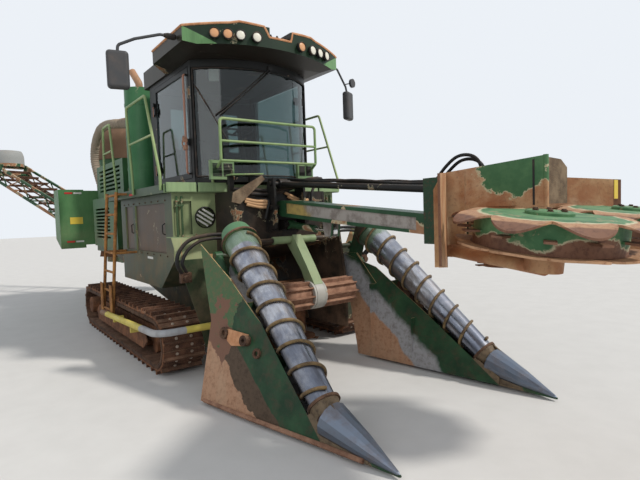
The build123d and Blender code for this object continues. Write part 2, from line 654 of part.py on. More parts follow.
def topper_head():
    """The topper's frame: pin plates, gathering walls like a W from above, and arms below the rotors."""
    (x0, z0), (x1, z1) = arm_end(LOWER_PIVOT), arm_end(UPPER_PIVOT)
    hx, hy = WING_HEEL
    body = block(hx, hx + 90, -hy - 60, hy + 60, 1400, 1485)
    for y in (-170, 170):
        body += side_plate([(x0 - 70, z0 - 160), (x0 + 160, z0 - 160), (hx, 1400), (hx + 90, 1400),
                            (x0 + 330, z0 - 60), (x0 + 330, z1 + 90), (x0 - 70, z1 + 90)], y - 12, y + 12)
    for x, z in ((x0, z0), (x1, z1)):
        body += bar((x, -182, z), (x, 182, z), PIN_R)
    cx, radius, low = CUTTER_DISH
    body += block(5420, 5700, -125, 125, 1770, 1800)
    body += bar((*WALL_PEAK, 1755), (*WALL_PEAK, 2110), 18)
    body += bar((cx, 0, low + 160 + SEAT_GAP), (cx, 0, 1785), 85)
    tilt = math.radians(ROTOR_TILT)
    for side in (1, -1):
        heel = (hx, side * hy)
        body += wall(heel, (WING_END[0], side * WING_END[1]), (1310, 2040), (1450, 1955), 12, side > 0)
        body += wall(heel, WALL_PEAK, (1700, 2040), (1760, 2107), 12, side > 0)
        body += bar((hx + 45, side * hy, 1445), (ROTOR_X - 30, side * ROTOR_Y, 1410), 48)
        foot = [ROTOR_DEPTH + SEAT_GAP, ROTOR_DEPTH + 130]
        ends = [(ROTOR_X - d * math.sin(tilt), side * ROTOR_Y, ROTOR_TOP - d * math.cos(tilt)) for d in foot]
        body += bar(ends[0], ends[1], 105)
    return body


def topper_cutter():
    """The topper's own cutter, a dish with blades between the two rotors."""
    x, radius, low = CUTTER_DISH
    body = bar((x, 0, low + 40), (x, 0, low + 160), 80) + bar((x, 0, low), (x, 0, low + 60), radius - 60, radius - 90)
    for i in range(6):
        body += Pos(x, 0, low + 12) * (Rot(0, 0, 60 * i) * (Pos(radius - 60, 0, 0) * Box(120, 60, 8)))
    return body


def rotor(side):
    """One topper rotor, tilted nose-down: scalloped gathering disc, drum with blades and lower disc."""
    def scalloped(radius, depth, lobes, z0, z1):
        points = []
        for i in range(8 * lobes):
            a = 2 * math.pi * i / (8 * lobes)
            r = radius - depth * (1 - math.cos(lobes * a)) / 2
            points.append((r * math.cos(a), r * math.sin(a)))
        return floor_plate(points, z0, z1)

    body = scalloped(ROTOR_R, 80, 12, -14, 0) + bar((0, 0, -5), (0, 0, 22), 130)
    body += bar((0, 0, -178), (0, 0, -5), 400) + scalloped(ROTOR_R - 40, 70, 12, -ROTOR_DEPTH, -ROTOR_DEPTH + 14)
    for i in range(12):
        body += Rot(0, 0, 30 * i) * (Pos(440, 0, -100) * Box(110, 60, 12))
    return Pos(ROTOR_X, side * ROTOR_Y, ROTOR_TOP) * (Rot(0, ROTOR_TILT, 0) * body)


def lean_plate(corners, thickness, outward):
    """A flat plate through points given as X, Y, Z, thickened towards or away from the machine's middle."""
    face = make_face(Polyline(corners, close=True)).faces()[0]
    normal = face.normal_at()
    if (normal.Y > 0) != outward:
        normal = normal * -1
    return extrude(face, amount=thickness, dir=tuple(normal))


def plane_y(a, b, c, x, z):
    """Y of the plane through three points at a given X and Z."""
    ux, uy, uz = (b[i] - a[i] for i in range(3))
    vx, vy, vz = (c[i] - a[i] for i in range(3))
    nx, ny, nz = uy * vz - uz * vy, uz * vx - ux * vz, ux * vy - uy * vx
    return a[1] - (nx * (x - a[0]) + nz * (z - a[2])) / ny


def divider():
    """The left crop divider: two converging side plates, point, ribs, spine, drive housing and hinge arm."""
    outline = [(OUTER_HEEL[0], 30), (3230, 760), (OUTER_TOP[0], OUTER_TOP[2]), (3370, 1170), (3830, 860),
               (4720, 380), (TIP[0] - 250, 110), (TIP[0] - 250, 30)]
    outer = [(x, plane_y(OUTER_HEEL, TIP, OUTER_TOP, x, z), z) for x, z in outline]
    body = lean_plate(outer, 14, True)
    outline = [(INNER_HEEL[0], 30), (INNER_TOP[0], INNER_TOP[2]), (3300, 1090), (4560, 290), (4900, 110),
               (4900, 30)]
    inner = [(x, plane_y(INNER_HEEL, TIP, INNER_TOP, x, z), z) for x, z in outline]
    body += lean_plate(inner, 14, False)
    for x, z0, z1 in ((3330, 32, 900), (3900, 32, 560)):
        y0 = plane_y(INNER_HEEL, TIP, INNER_TOP, x, 60)
        y1 = plane_y(OUTER_HEEL, TIP, OUTER_TOP, x, z1) + 2
        body += block(x, x + 12, y0, y1, z0, z1)
    heel = [(INNER_HEEL[0] + 60, 640), (OUTER_HEEL[0] + 30, 1462), (TIP[0] - 300, 1066), (TIP[0] - 400, 938)]
    body += floor_plate(heel, 30, 46)
    body += divider_point()
    a, b = Vector(*SCROLL_TOP), Vector(*SCROLL_END)
    d = (b - a).normalized()
    room = FLIGHT + 10
    body -= bar(tuple(a - d * 30), tuple(b + d * 20), SCROLL_R_TOP + room, SCROLL_R_END + room)
    cap = a - d * SEAT_GAP
    body += bar(tuple(cap - d * 160), tuple(cap), 150, 190)
    body += bar(tuple(cap - d * 210), tuple(cap - d * 150), 90, 140)
    foot = b + d * SEAT_GAP
    body += bar(tuple(foot), tuple(foot + d * 130), SCROLL_R_END + 20, 90)
    body += divider_bracket(cap - d * 100)
    body -= bar(tuple(a - d * 65), tuple(b + d * 65), JOURNAL_R + 0.06)
    hx, hz = DIVIDER_HINGE
    arm_y = DIVIDER_ARM_Y
    body += side_plate([(hx - 70, hz - 70), (hx + 70, hz - 70), (3200, 700), (3340, 560), (3340, 900),
                        (2990, 1250), (2780, 1250), (hx + 70, hz + 90), (hx - 70, hz + 70)], arm_y, arm_y + 30)
    body += block(3300, 3345, 700, arm_y + 30, 560, 890)
    body -= bar((hx, arm_y - 5, hz), (hx, arm_y + 60, hz), PIN_R + 0.06)
    rx, rz = RAM_END
    body += bar((rx, arm_y + 20, rz), (rx, RAM_Y + 40, rz), PIN_R)
    return body


def divider_bracket(cap):
    """The upright between the hinge arm and the drive housing."""
    return side_plate([(2780, 1120), (2940, 1120), (cap.X + 10, cap.Z), (cap.X - 90, cap.Z)],
                      DIVIDER_ARM_Y + 10, DIVIDER_ARM_Y + 115)


def divider_point():
    """The steel point at the divider's front."""
    x0 = TIP[0] - 800
    back = [(x0, 880, 30), (x0, 1178, 30), (x0, 1130, 160), (x0, 930, 160)]
    front = [(x, y, z) for x, y, z in ((TIP[0], 994, 22), (TIP[0], 1012, 22), (TIP[0], 1008, 36), (TIP[0], 998, 36))]
    return loft([make_face(Polyline(back, close=True)), make_face(Polyline(front, close=True))])


def scroll():
    """The left scroll: a tapered tube with one rising flight wound round it."""
    a, b = Vector(*SCROLL_TOP), Vector(*SCROLL_END)
    axis = (b - a).normalized()
    length = (b - a).length
    place = Plane(origin=a, z_dir=axis)
    tube = place * (Pos(0, 0, length / 2) * (Cone(SCROLL_R_TOP, SCROLL_R_END, length)
                                             + Cylinder(JOURNAL_R, length + 120)))
    steps = 14

    def section(i):
        turn = 2 * math.pi * i / steps
        z = 50 + (length - 100) * i / (steps * FLIGHT_TURNS)
        r = SCROLL_R_TOP + (SCROLL_R_END - SCROLL_R_TOP) * z / length + 0.5
        c, s = math.cos(turn), math.sin(turn)
        pts = ((r, z - 6), (r + FLIGHT, z - 6), (r + FLIGHT, z + 6), (r, z + 6))
        return [place.from_local_coords(Vector(q * c, q * s, h)) for q, h in pts]

    faces = []
    count = steps * FLIGHT_TURNS
    rings = [section(i) for i in range(count + 1)]
    for p, q in zip(rings, rings[1:]):
        for k in range(4):
            m = (k + 1) % 4
            faces.append(triangle(p[k], q[k], q[m]))
            faces.append(triangle(p[k], q[m], p[m]))
    for ring in (rings[0], rings[-1]):
        faces.append(triangle(ring[0], ring[1], ring[2]))
        faces.append(triangle(ring[0], ring[2], ring[3]))
    flight = Solid(Shell(faces))
    return [tube, flight]


def triangle(a, b, c):
    return Face(Wire.make_polygon([a, b, c], close=True))


def knockdown_arm():
    """The curved arm that holds the knockdown roller in its middle."""
    x, z = ROLLER_C
    hx, hz = ARM_HINGE
    arm = side_plate([(hx - 60, hz - 60), (hx + 60, hz + 60), (x - 30, z + 330), (x + 110, z + 130), (x + 60, z + 20),
                      (x - 60, z + 20), (x - 60, z + 120), (x - 150, z + 280)], -60, 60)
    arm += bar((x, -60, z), (x, 60, z), ROLLER_R + 20)
    arm += bar((hx, -300, hz), (hx, 300, hz), 45)
    arm -= bar((hx, -310, hz), (hx, 310, hz), PIN_R + 0.06)
    arm -= bar((x, -70, z), (x, 70, z), 40.06)
    return arm


def knockdown_roller():
    """Two drums with long fins on one shaft, either side of the arm."""
    x, z = ROLLER_C
    body = bar((x, -ROLLER_HALF, z), (x, ROLLER_HALF, z), 40)
    for y0, y1 in ((-ROLLER_HALF + 10, -66), (66, ROLLER_HALF - 10)):
        body += bar((x, y0, z), (x, y1, z), ROLLER_R)
        for i in range(10):
            fin = Pos(ROLLER_R + 18, 0, 0) * Box(50, y1 - y0, 14)
            body += Pos(x, (y0 + y1) / 2, z) * (Rot(0, 36 * i, 0) * fin)
    return body


def ram(eye, rod_eye, barrel_r, rod_r, y, slack=6):
    """A hydraulic ram in a vertical plane: the barrel with its eye, and the rod with its own."""
    a, b = Vector(eye[0], y, eye[1]), Vector(rod_eye[0], y, rod_eye[1])
    d = (b - a).normalized()
    length = (b - a).length
    end = a + d * (length * 0.64)
    barrel = bar(tuple(a), tuple(end), barrel_r) + bar((a.X, y - 40, a.Z), (a.X, y + 40, a.Z), PIN_R + 22)
    barrel -= bar(tuple(a + d * 80), tuple(end - d * 40), rod_r + 9)
    barrel -= bar(tuple(end - d * 45), tuple(end + d * 5), rod_r + 0.06)
    barrel -= bar((a.X, y - 80, a.Z), (a.X, y + 80, a.Z), PIN_R + 0.06)
    rod = bar(tuple(a + d * (length * 0.36)), tuple(b), rod_r)
    rod += bar((b.X, y - 26, b.Z), (b.X, y + 26, b.Z), PIN_R + slack + 18)
    rod -= bar((b.X, y - 40, b.Z), (b.X, y + 40, b.Z), PIN_R + slack)
    return barrel, rod


def elevator_place(shape):
    """Swings a piece drawn along -X to the side on which the elevator is parked."""
    return Pos(SLEW_X, 0, 0) * (Rot(0, 0, SLEW_DEG) * (Pos(-SLEW_X, 0, 0) * shape))


def rear_carrier():
    """The beam behind the chassis with the turntable's base on its end, and the tow hitch below it."""
    x0 = CHASSIS_REAR - SEAT_GAP
    top = SLEW_Z - SEAT_GAP
    body = side_plate([(x0, 1160), (x0, 1280), (SLEW_X + 700, top), (SLEW_X, top), (SLEW_X, top - 120),
                       (SLEW_X + 700, top - 120)], -260, 260)
    body += bar((SLEW_X, 0, top - 120), (SLEW_X, 0, top), 400)
    z = HITCH_Z
    body += block(x0 - 60, x0, -130, 130, z, 1200) + block(HITCH_X - 60, x0, -60, 60, z, z + HITCH_THICKNESS)
    body += bar((HITCH_X, 0, z), (HITCH_X, 0, z + HITCH_THICKNESS), 75)
    return body - bar((HITCH_X, 0, z - 5), (HITCH_X, 0, z + HITCH_THICKNESS + 5), HITCH_BORE_R)


def rear_tank():
    """The left box beside the cleaning chamber, with its slanted lower edge."""
    y0 = 740 + SEAT_GAP
    body = block(-4050, -3480, 1090, 1560, 1150, 2420) + block(-3900, -3480, y0, 1095, 1700, 2255)
    body -= side_plate([(-4100, 1140), (-3400, 1140), (-3400, 1180), (-4100, 1420)], 1080, 1570)
    return body


def elevator_table():
    """The turntable with the cheeks that carry the elevator's foot."""
    x, z = SLEW_X, SLEW_Z
    body = bar((x, 0, z), (x, 0, z + 60), 380)
    for y in (-470, 470):
        body += side_plate([(x - 300, z + 10), (x + 120, z + 10), (x + 120, z + 420), (x - 180, z + 420)],
                           y - 12, y + 12)
    body += block(x - 300, x + 120, -480, 480, z + 10, z + 40)
    px, pz = x + ELEVATOR_FOOT[0], z + ELEVATOR_FOOT[1]
    body -= bar((px, -500, pz), (px, 500, pz), 35.06)
    return elevator_place(body)


def slope_place(shape):
    """Puts a piece drawn along -X from the elevator's foot onto its slope."""
    return Pos(SLEW_X + ELEVATOR_FOOT[0], 0, SLEW_Z + ELEVATOR_FOOT[1]) * (Rot(0, ELEVATOR_RISE, 0) * shape)


def elevator_end():
    """Where the elevator's upper end lies before it is swung to the side."""
    a = math.radians(ELEVATOR_RISE)
    return (SLEW_X + ELEVATOR_FOOT[0] - ELEVATOR_LENGTH * math.cos(a),
            SLEW_Z + ELEVATOR_FOOT[1] + ELEVATOR_LENGTH * math.sin(a))


def elevator_frame():
    """The lattice sides of the elevator, its end plates, shafts and the collar for its hood."""
    length, half = ELEVATOR_LENGTH, ELEVATOR_HALF
    body = None
    for y in (-half, half):
        for z0 in (-170, 190):
            chord = block(-length, 150, y - 22, y + 22, z0 - 30, z0 + 30)
            body = chord if body is None else body + chord
        for i in range(9):
            a = -150 - i * (length - 300) / 9
            b = a - (length - 300) / 9
            lo, hi = (-160, 180) if i % 2 == 0 else (180, -160)
            body += bar((a, y, lo), (b, y, hi), 16)
        body += block(-230, 60, y - 18, y + 18, -180, 200)
        body += block(-length - 40, -length + 230, y - 18, y + 18, -215, 235)
    for i in range(7):
        a = -100 - i * (length - 250) / 6
        body += bar((a, -half, -172), (a, half, -172), 20)
    body += bar((0, -482, 0), (0, 482, 0), 35)
    for a in (-150, -length + 150):
        body += bar((a, -half, 0), (a, half, 0), 60 - SEAT_GAP)
    ex, ez = elevator_end()
    collar = block(ex - 130, ex + 60, -half - 27, half + 27, ez + 120, ez + 170)
    collar += bar((ex - 60, 0, ez + 150), (ex - 60, 0, ez + 230), 400) - bar((ex - 60, 0, ez + 100),
                                                                           (ex - 60, 0, ez + 240), 370)
    return elevator_place(slope_place(body) + collar)


def elevator_chain():
    """The endless elevator chain as one loop with its slats."""
    length, half = ELEVATOR_LENGTH, ELEVATOR_HALF - 40
    body = None
    for y in (-half + 30, half - 30):
        strand = block(-length + 60, -60, y - 15, y + 15, 60, 90) + block(-length + 60, -60, y - 15, y + 15, -90, -60)
        strand += block(-length + 60, -length + 90, y - 15, y + 15, -90, 90) + block(-90, -60, y - 15, y + 15, -90, 90)
        body = strand if body is None else body + strand
    for i in range(11):
        a = -250 - i * (length - 500) / 10
        body += block(a - 5, a + 5, -half, half, 85, 155)
        body += block(a - 5, a + 5, -half, half, -150, -85)
    return elevator_place(slope_place(body))


def elevator_hood():
    """The second extractor's round hood at the elevator's end."""
    ex, ez = elevator_end()
    x, z = ex - 60, ez + 230 + SEAT_GAP
    body = bar((x, 0, z), (x, 0, z + 150), 400) - bar((x, 0, z - 10), (x, 0, z + 160), 375)
    dome = Pos(x, 0, z + 150) * (Sphere(400) & Pos(0, 0, 100) * Box(900, 900, 200))
    body += dome - Pos(x, 0, z + 145) * (Sphere(380) & Pos(0, 0, 85) * Box(900, 900, 170))
    return elevator_place(body)


def swung(x, y, z):
    """A point of the elevator as drawn along -X, at the place where it is parked."""
    c, s = math.cos(math.radians(SLEW_DEG)), math.sin(math.radians(SLEW_DEG))
    dx = x - SLEW_X
    return SLEW_X + c * dx - s * y, s * dx + c * y, z


def pivots():
    """Each joint's pivot in the machine's own frame."""
    ex, ez = elevator_end()
    places = {
        "door": (DOOR_PIN[0], DOOR_PIN[1], CAB_FLOOR),
        "knockdown": (ARM_HINGE[0], 0, ARM_HINGE[1]),
        "roller": (ROLLER_C[0], 0, ROLLER_C[1]),
        "lower_arm": (LOWER_PIVOT[0], 0, LOWER_PIVOT[1]),
        "upper_arm": (UPPER_PIVOT[0], 0, UPPER_PIVOT[1]),
        "head": (arm_end(LOWER_PIVOT)[0], 0, arm_end(LOWER_PIVOT)[1]),
        "topper_barrel": (TOPPER_RAM_FOOT[0], 0, TOPPER_RAM_FOOT[1]),
        "topper_cutter": (CUTTER_DISH[0], 0, CUTTER_DISH[2]),
        "extractor": (EXTRACTOR_X, 0, RING_TOP),
        "slew": (SLEW_X, 0, SLEW_Z),
        "lift": swung(SLEW_X + ELEVATOR_FOOT[0], 0, SLEW_Z + ELEVATOR_FOOT[1]),
        "elevator_hood": swung(ex - 60, 0, ez + 230),
        "hitch": (HITCH_X, 0, HITCH_Z + HITCH_THICKNESS / 2),
        "hood_mouth": (EXTRACTOR_X - EXTRACTOR_R, 0, (RING_TOP + HOOD_TOP) / 2),
    }
    for name, side in (("right", -1), ("left", 1)):
        places["cutter_" + name] = (CUTTER_X, side * CUTTER_Y, CUTTER_Z)
        places["rotor_" + name] = (ROTOR_X, side * ROTOR_Y, ROTOR_TOP)
        places["divider_" + name] = (DIVIDER_HINGE[0], side * DIVIDER_ARM_Y, DIVIDER_HINGE[1])
        places["scroll_" + name] = (SCROLL_TOP[0], side * SCROLL_TOP[1], SCROLL_TOP[2])
        places["ram_" + name] = (RAM_TOP[0], side * RAM_Y, RAM_TOP[1])
    return places


def both_sides(piece):
    """A left-hand piece, or list of pieces, and its mirror image as one list."""
    items = piece if isinstance(piece, list) else [piece]
    return items + [mirrored(item) for item in items]


def build():
    door, pane = cab_door()
    barrel, rod = ram(RAM_TOP, RAM_END, 46, 24, RAM_Y)
    topper_barrel, topper_rod = ram(TOPPER_RAM_FOOT, TOPPER_RAM_END, 40, 22, 0, slack=18)
    nodes = {
        "chassis": chassis(), "deck": deck(), "ladder": ladder(), "handrails": both_sides(side_rails()),
        "front_rail": front_rail(), "guard_tube": guard_tube(), "cabinets": both_sides(cabinet()),
        "engine": engine(), "engine_cover": engine_cover(), "exhaust": exhaust(), "air_cleaner": air_cleaner(),
        "extractor_base": extractor_base(), "extractor_fan": extractor_fan(), "extractor_hood": extractor_hood(),
        "cutter_legs": cutter_legs(), "cutter_disc_right": cutter_disc(-1), "cutter_disc_left": cutter_disc(1),
        "cab_frame": cab_frame(), "cab_glass": cab_glass(), "door_frame": door, "door_glass": pane,
        "cab_roof": cab_roof(), "roof_lamps": roof_lamps(), "mirrors": mirrors(), "seat": seat(),
        "console": console(), "topper_mast": topper_mast(), "topper_lower_arm": lower_arm(),
        "topper_upper_arm": upper_arm(), "topper_head": topper_head(),
        "topper_ram_barrel": topper_barrel, "topper_ram_rod": topper_rod,
        "topper_rotor_right": rotor(-1), "topper_rotor_left": rotor(1), "topper_cutter": topper_cutter(),
        "knockdown_arm": knockdown_arm(), "knockdown_roller": knockdown_roller(),
        "elevator_table": elevator_table(), "elevator_frame": elevator_frame(),
        "elevator_chain": elevator_chain(), "elevator_hood": elevator_hood(),
        "rear_carrier": rear_carrier(), "rear_tanks": both_sides(rear_tank()),
    }
    left_pieces = {
        "track": track(), "track_frame": track_frame(), "divider": divider(), "scroll": scroll(),
        "divider_ram_barrel": barrel, "divider_ram_rod": rod,
    }
    for name, piece in left_pieces.items():
        items = piece if isinstance(piece, list) else [piece]
        nodes[name + "_left"] = items
        nodes[name + "_right"] = [mirrored(item) for item in items]
    return nodes


def solids_of(shape):
    items = shape if isinstance(shape, list) else [shape]
    found = []
    for item in items:
        found.extend(item.solids())
    return found


os.makedirs("parts", exist_ok=True)
nodes = {name: solids_of(shape) for name, shape in build().items()}
whole = Compound([s for group in nodes.values() for s in group]).bounding_box()
shift = Pos(-(whole.min.X + whole.max.X) / 2, -(whole.min.Y + whole.max.Y) / 2, 0)
for name, group in nodes.items():
    moved = [shift * s for s in group]
    export_step(moved[0] if len(moved) == 1 else Compound(moved), f"parts/{name}.step")
print("size", whole.size, "floor", whole.min.Z)
print("shift", shift.position)
for name, (x, y, z) in pivots().items():
    print("pivot", name, round((x + shift.position.X) / 1000, 6), round((y + shift.position.Y) / 1000, 6),
          round(z / 1000, 6))
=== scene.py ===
"""Looks of a tracked sugarcane harvester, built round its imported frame.

Places are metres from the machine's own origin: on the ground under the middle of the tracks' cross line,
X forwards, Y to the machine's left, Z up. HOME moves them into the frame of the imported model.
"""
import math

import bmesh
import bpy
import numpy as np
from mathutils import Matrix, Vector


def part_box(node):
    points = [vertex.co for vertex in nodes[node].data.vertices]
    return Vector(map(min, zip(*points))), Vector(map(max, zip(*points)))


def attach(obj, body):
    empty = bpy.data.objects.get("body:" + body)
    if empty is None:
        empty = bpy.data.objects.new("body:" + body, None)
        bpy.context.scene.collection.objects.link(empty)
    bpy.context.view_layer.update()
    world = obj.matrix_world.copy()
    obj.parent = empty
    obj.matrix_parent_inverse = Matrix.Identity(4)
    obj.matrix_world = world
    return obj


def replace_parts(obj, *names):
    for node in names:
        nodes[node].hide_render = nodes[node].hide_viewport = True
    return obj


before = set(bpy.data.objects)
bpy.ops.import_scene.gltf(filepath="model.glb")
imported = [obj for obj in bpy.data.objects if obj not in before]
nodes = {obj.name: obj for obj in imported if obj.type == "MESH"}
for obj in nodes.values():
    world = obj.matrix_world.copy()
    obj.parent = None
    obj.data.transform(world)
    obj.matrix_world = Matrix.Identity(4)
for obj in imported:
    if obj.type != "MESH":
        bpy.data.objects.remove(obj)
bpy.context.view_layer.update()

THROAT_FRONT = 2.95      # X of the side walls' front edge
HOME = np.array([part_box("chassis")[1].x - THROAT_FRONT,
                 (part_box("track_left")[1].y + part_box("track_right")[0].y) / 2, 0.0])
X, Y, Z = np.eye(3)
SIDES = (("right", -1), ("left", 1))


# Forms: each is its points and the faces between them

POLE = 0.003             # a profile's end nearer to the axis than this counts as on it
SHARP = math.radians(35)


def unit(v):
    v = np.asarray(v, float)
    return v / np.linalg.norm(v, axis=-1, keepdims=True)


def add_object(name, data):
    obj = bpy.data.objects.new(name, data)
    bpy.context.scene.collection.objects.link(obj)
    return obj


def piece(name, forms, material, body="machine", flat=False):
    """Forms joined to one mesh object in place, riding on a body, in the given material."""
    points, faces = [], []
    for more, corners in forms:
        faces += [[i + len(points) for i in face] for face in corners]
        points += (np.asarray(more, float) + HOME).tolist()
    mesh = bpy.data.meshes.new(name)
    mesh.from_pydata(points, [], faces)
    mesh.validate()
    form = bmesh.new()
    form.from_mesh(mesh)
    bmesh.ops.recalc_face_normals(form, faces=form.faces)
    form.to_mesh(mesh)
    form.free()
    mesh.materials.append(material)
    mesh.polygons.foreach_set("use_smooth", [not flat] * len(mesh.polygons))
    if not flat:
        mesh.set_sharp_from_angle(angle=SHARP)
    obj = add_object(name, mesh)
    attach(obj, body)
    return obj


def on_side(points, side):
    """One or more points of the left side, or their mirror images on the right."""
    return np.asarray(points, float) * (1, side, 1)


def angles(count):
    return np.linspace(0, 2 * np.pi, count, endpoint=False)


def circle(across, up, turn):
    """Points of the unit circle in the plane of two directions, at the angles of turn."""
    return np.cos(turn)[:, None] * across + np.sin(turn)[:, None] * up


def square_to(axis):
    """Two directions square to an axis and to each other."""
    side = unit(np.cross(axis, Z if abs(axis[2]) < 0.9 else X))
    return side, np.cross(axis, side)


def skin(rows, ring=False):
    """Rows of points, each once round, as a closed form: capped at both ends, or closed on itself as a ring."""
    count, sides = rows.shape[:2]
    r, c = [a.ravel() for a in np.meshgrid(np.arange(count if ring else count - 1), np.arange(sides), indexing="ij")]
    r1, c1 = (r + 1) % count, (c + 1) % sides
    faces = np.stack([r * sides + c, r * sides + c1, r1 * sides + c1, r1 * sides + c], 1).tolist()
    if not ring:
        faces += [list(range(sides)), [(count - 1) * sides + i for i in range(sides)]]
    return rows.reshape(-1, 3), faces


def smooth_path(points, count=8):
    """A Catmull-Rom curve through the points: each span is the cubic that leaves its ends along their
    neighbours' chords."""
    p = np.asarray(points, float)
    q = np.vstack([2 * p[0] - p[1], p, 2 * p[-1] - p[-2]])
    t = np.linspace(0, 1, count, endpoint=False)[:, None]
    spans = [0.5 * (2 * b + (c - a) * t + (2 * a - 5 * b + 4 * c - d) * t ** 2 + (3 * b - a - 3 * c + d) * t ** 3)
             for a, b, c, d in zip(q[:-3], q[1:-2], q[2:-1], q[3:])]
    return np.vstack(spans + [p[-1:]])


def tube(path, radius, sides=12, ripple=0.0, ripple_pitch=0.03):
    """A round tube: at each path point a circle of the radius, swollen by ripple * cos along the length.

    The circle's first direction is turned as little as possible from one point to the next.
    """
    path = np.asarray(path, float)
    t = unit(np.gradient(path, axis=0))
    start = Z if abs(t[0][2]) < 0.9 else X
    n = [unit(start - t[0] * (start @ t[0]))]
    for ahead in t[1:]:
        n.append(unit(n[-1] - ahead * (n[-1] @ ahead)))
    run = np.concatenate([[0], np.cumsum(np.linalg.norm(np.diff(path, axis=0), axis=1))])
    r = np.broadcast_to(radius, run.shape) + ripple * np.cos(2 * np.pi * run / ripple_pitch)
    round_ = circle(np.array(n)[:, None], np.cross(t, n)[:, None], angles(sides))
    return skin(path[:, None] + r[:, None, None] * round_)


def turned(profile, centre, axis, sides=32):
    """A profile of (distance along the axis, radius) turned round the axis through centre.

    A profile that reaches the axis is capped at both ends, any other is closed to a ring.
    """
    profile, axis = np.asarray(profile, float), unit(axis)
    round_ = circle(*square_to(axis), angles(sides))
    rows = np.asarray(centre) + profile[:, :1, None] * axis + profile[:, 1:, None] * round_
    return skin(rows, min(profile[0, 1], profile[-1, 1]) > POLE)


def band(centre, axis, low, high, inner, outer, sides):
    """A ring of square section, from low to high along its axis."""
    return turned([(low, inner), (low, outer), (high, outer), (high, inner)], centre, axis, sides)


def slab(outline, normal, thickness):
    """A flat outline pushed out along a normal to a plate with closed edges."""
    outline = np.asarray(outline, float)
    return skin(np.stack([outline, outline + unit(normal) * thickness]))


def at_x(x, outline):
    return [(x, y, z) for y, z in outline]


def box(a, b):
    """An upright block between any two opposite corners."""
    (x0, y0, z0), (x1, y1, z1) = np.minimum(a, b), np.maximum(a, b)
    return slab([(x0, y0, z0), (x1, y0, z0), (x1, y1, z0), (x0, y1, z0)], Z, z1 - z0)


def blocks(*corners):
    """Upright blocks of the left side, each between two corners, with their mirror images."""
    return [box(*on_side(pair, side)) for pair in corners for _, side in SIDES]


def bolt_heads(places, normal, radius, height):
    """Six-sided heads with a washer under each, all along one normal."""
    normal = unit(normal)
    washer = height * 0.3
    return [slab(np.asarray(place) + r * circle(*square_to(normal), angles(n)) + normal * low, normal, high - low)
            for place in places for r, low, high, n in ((radius * 1.35, 0, washer, 12), (radius, washer, height, 6))]


# Materials

def as_floats(values):
    return tuple(float(v) for v in values)


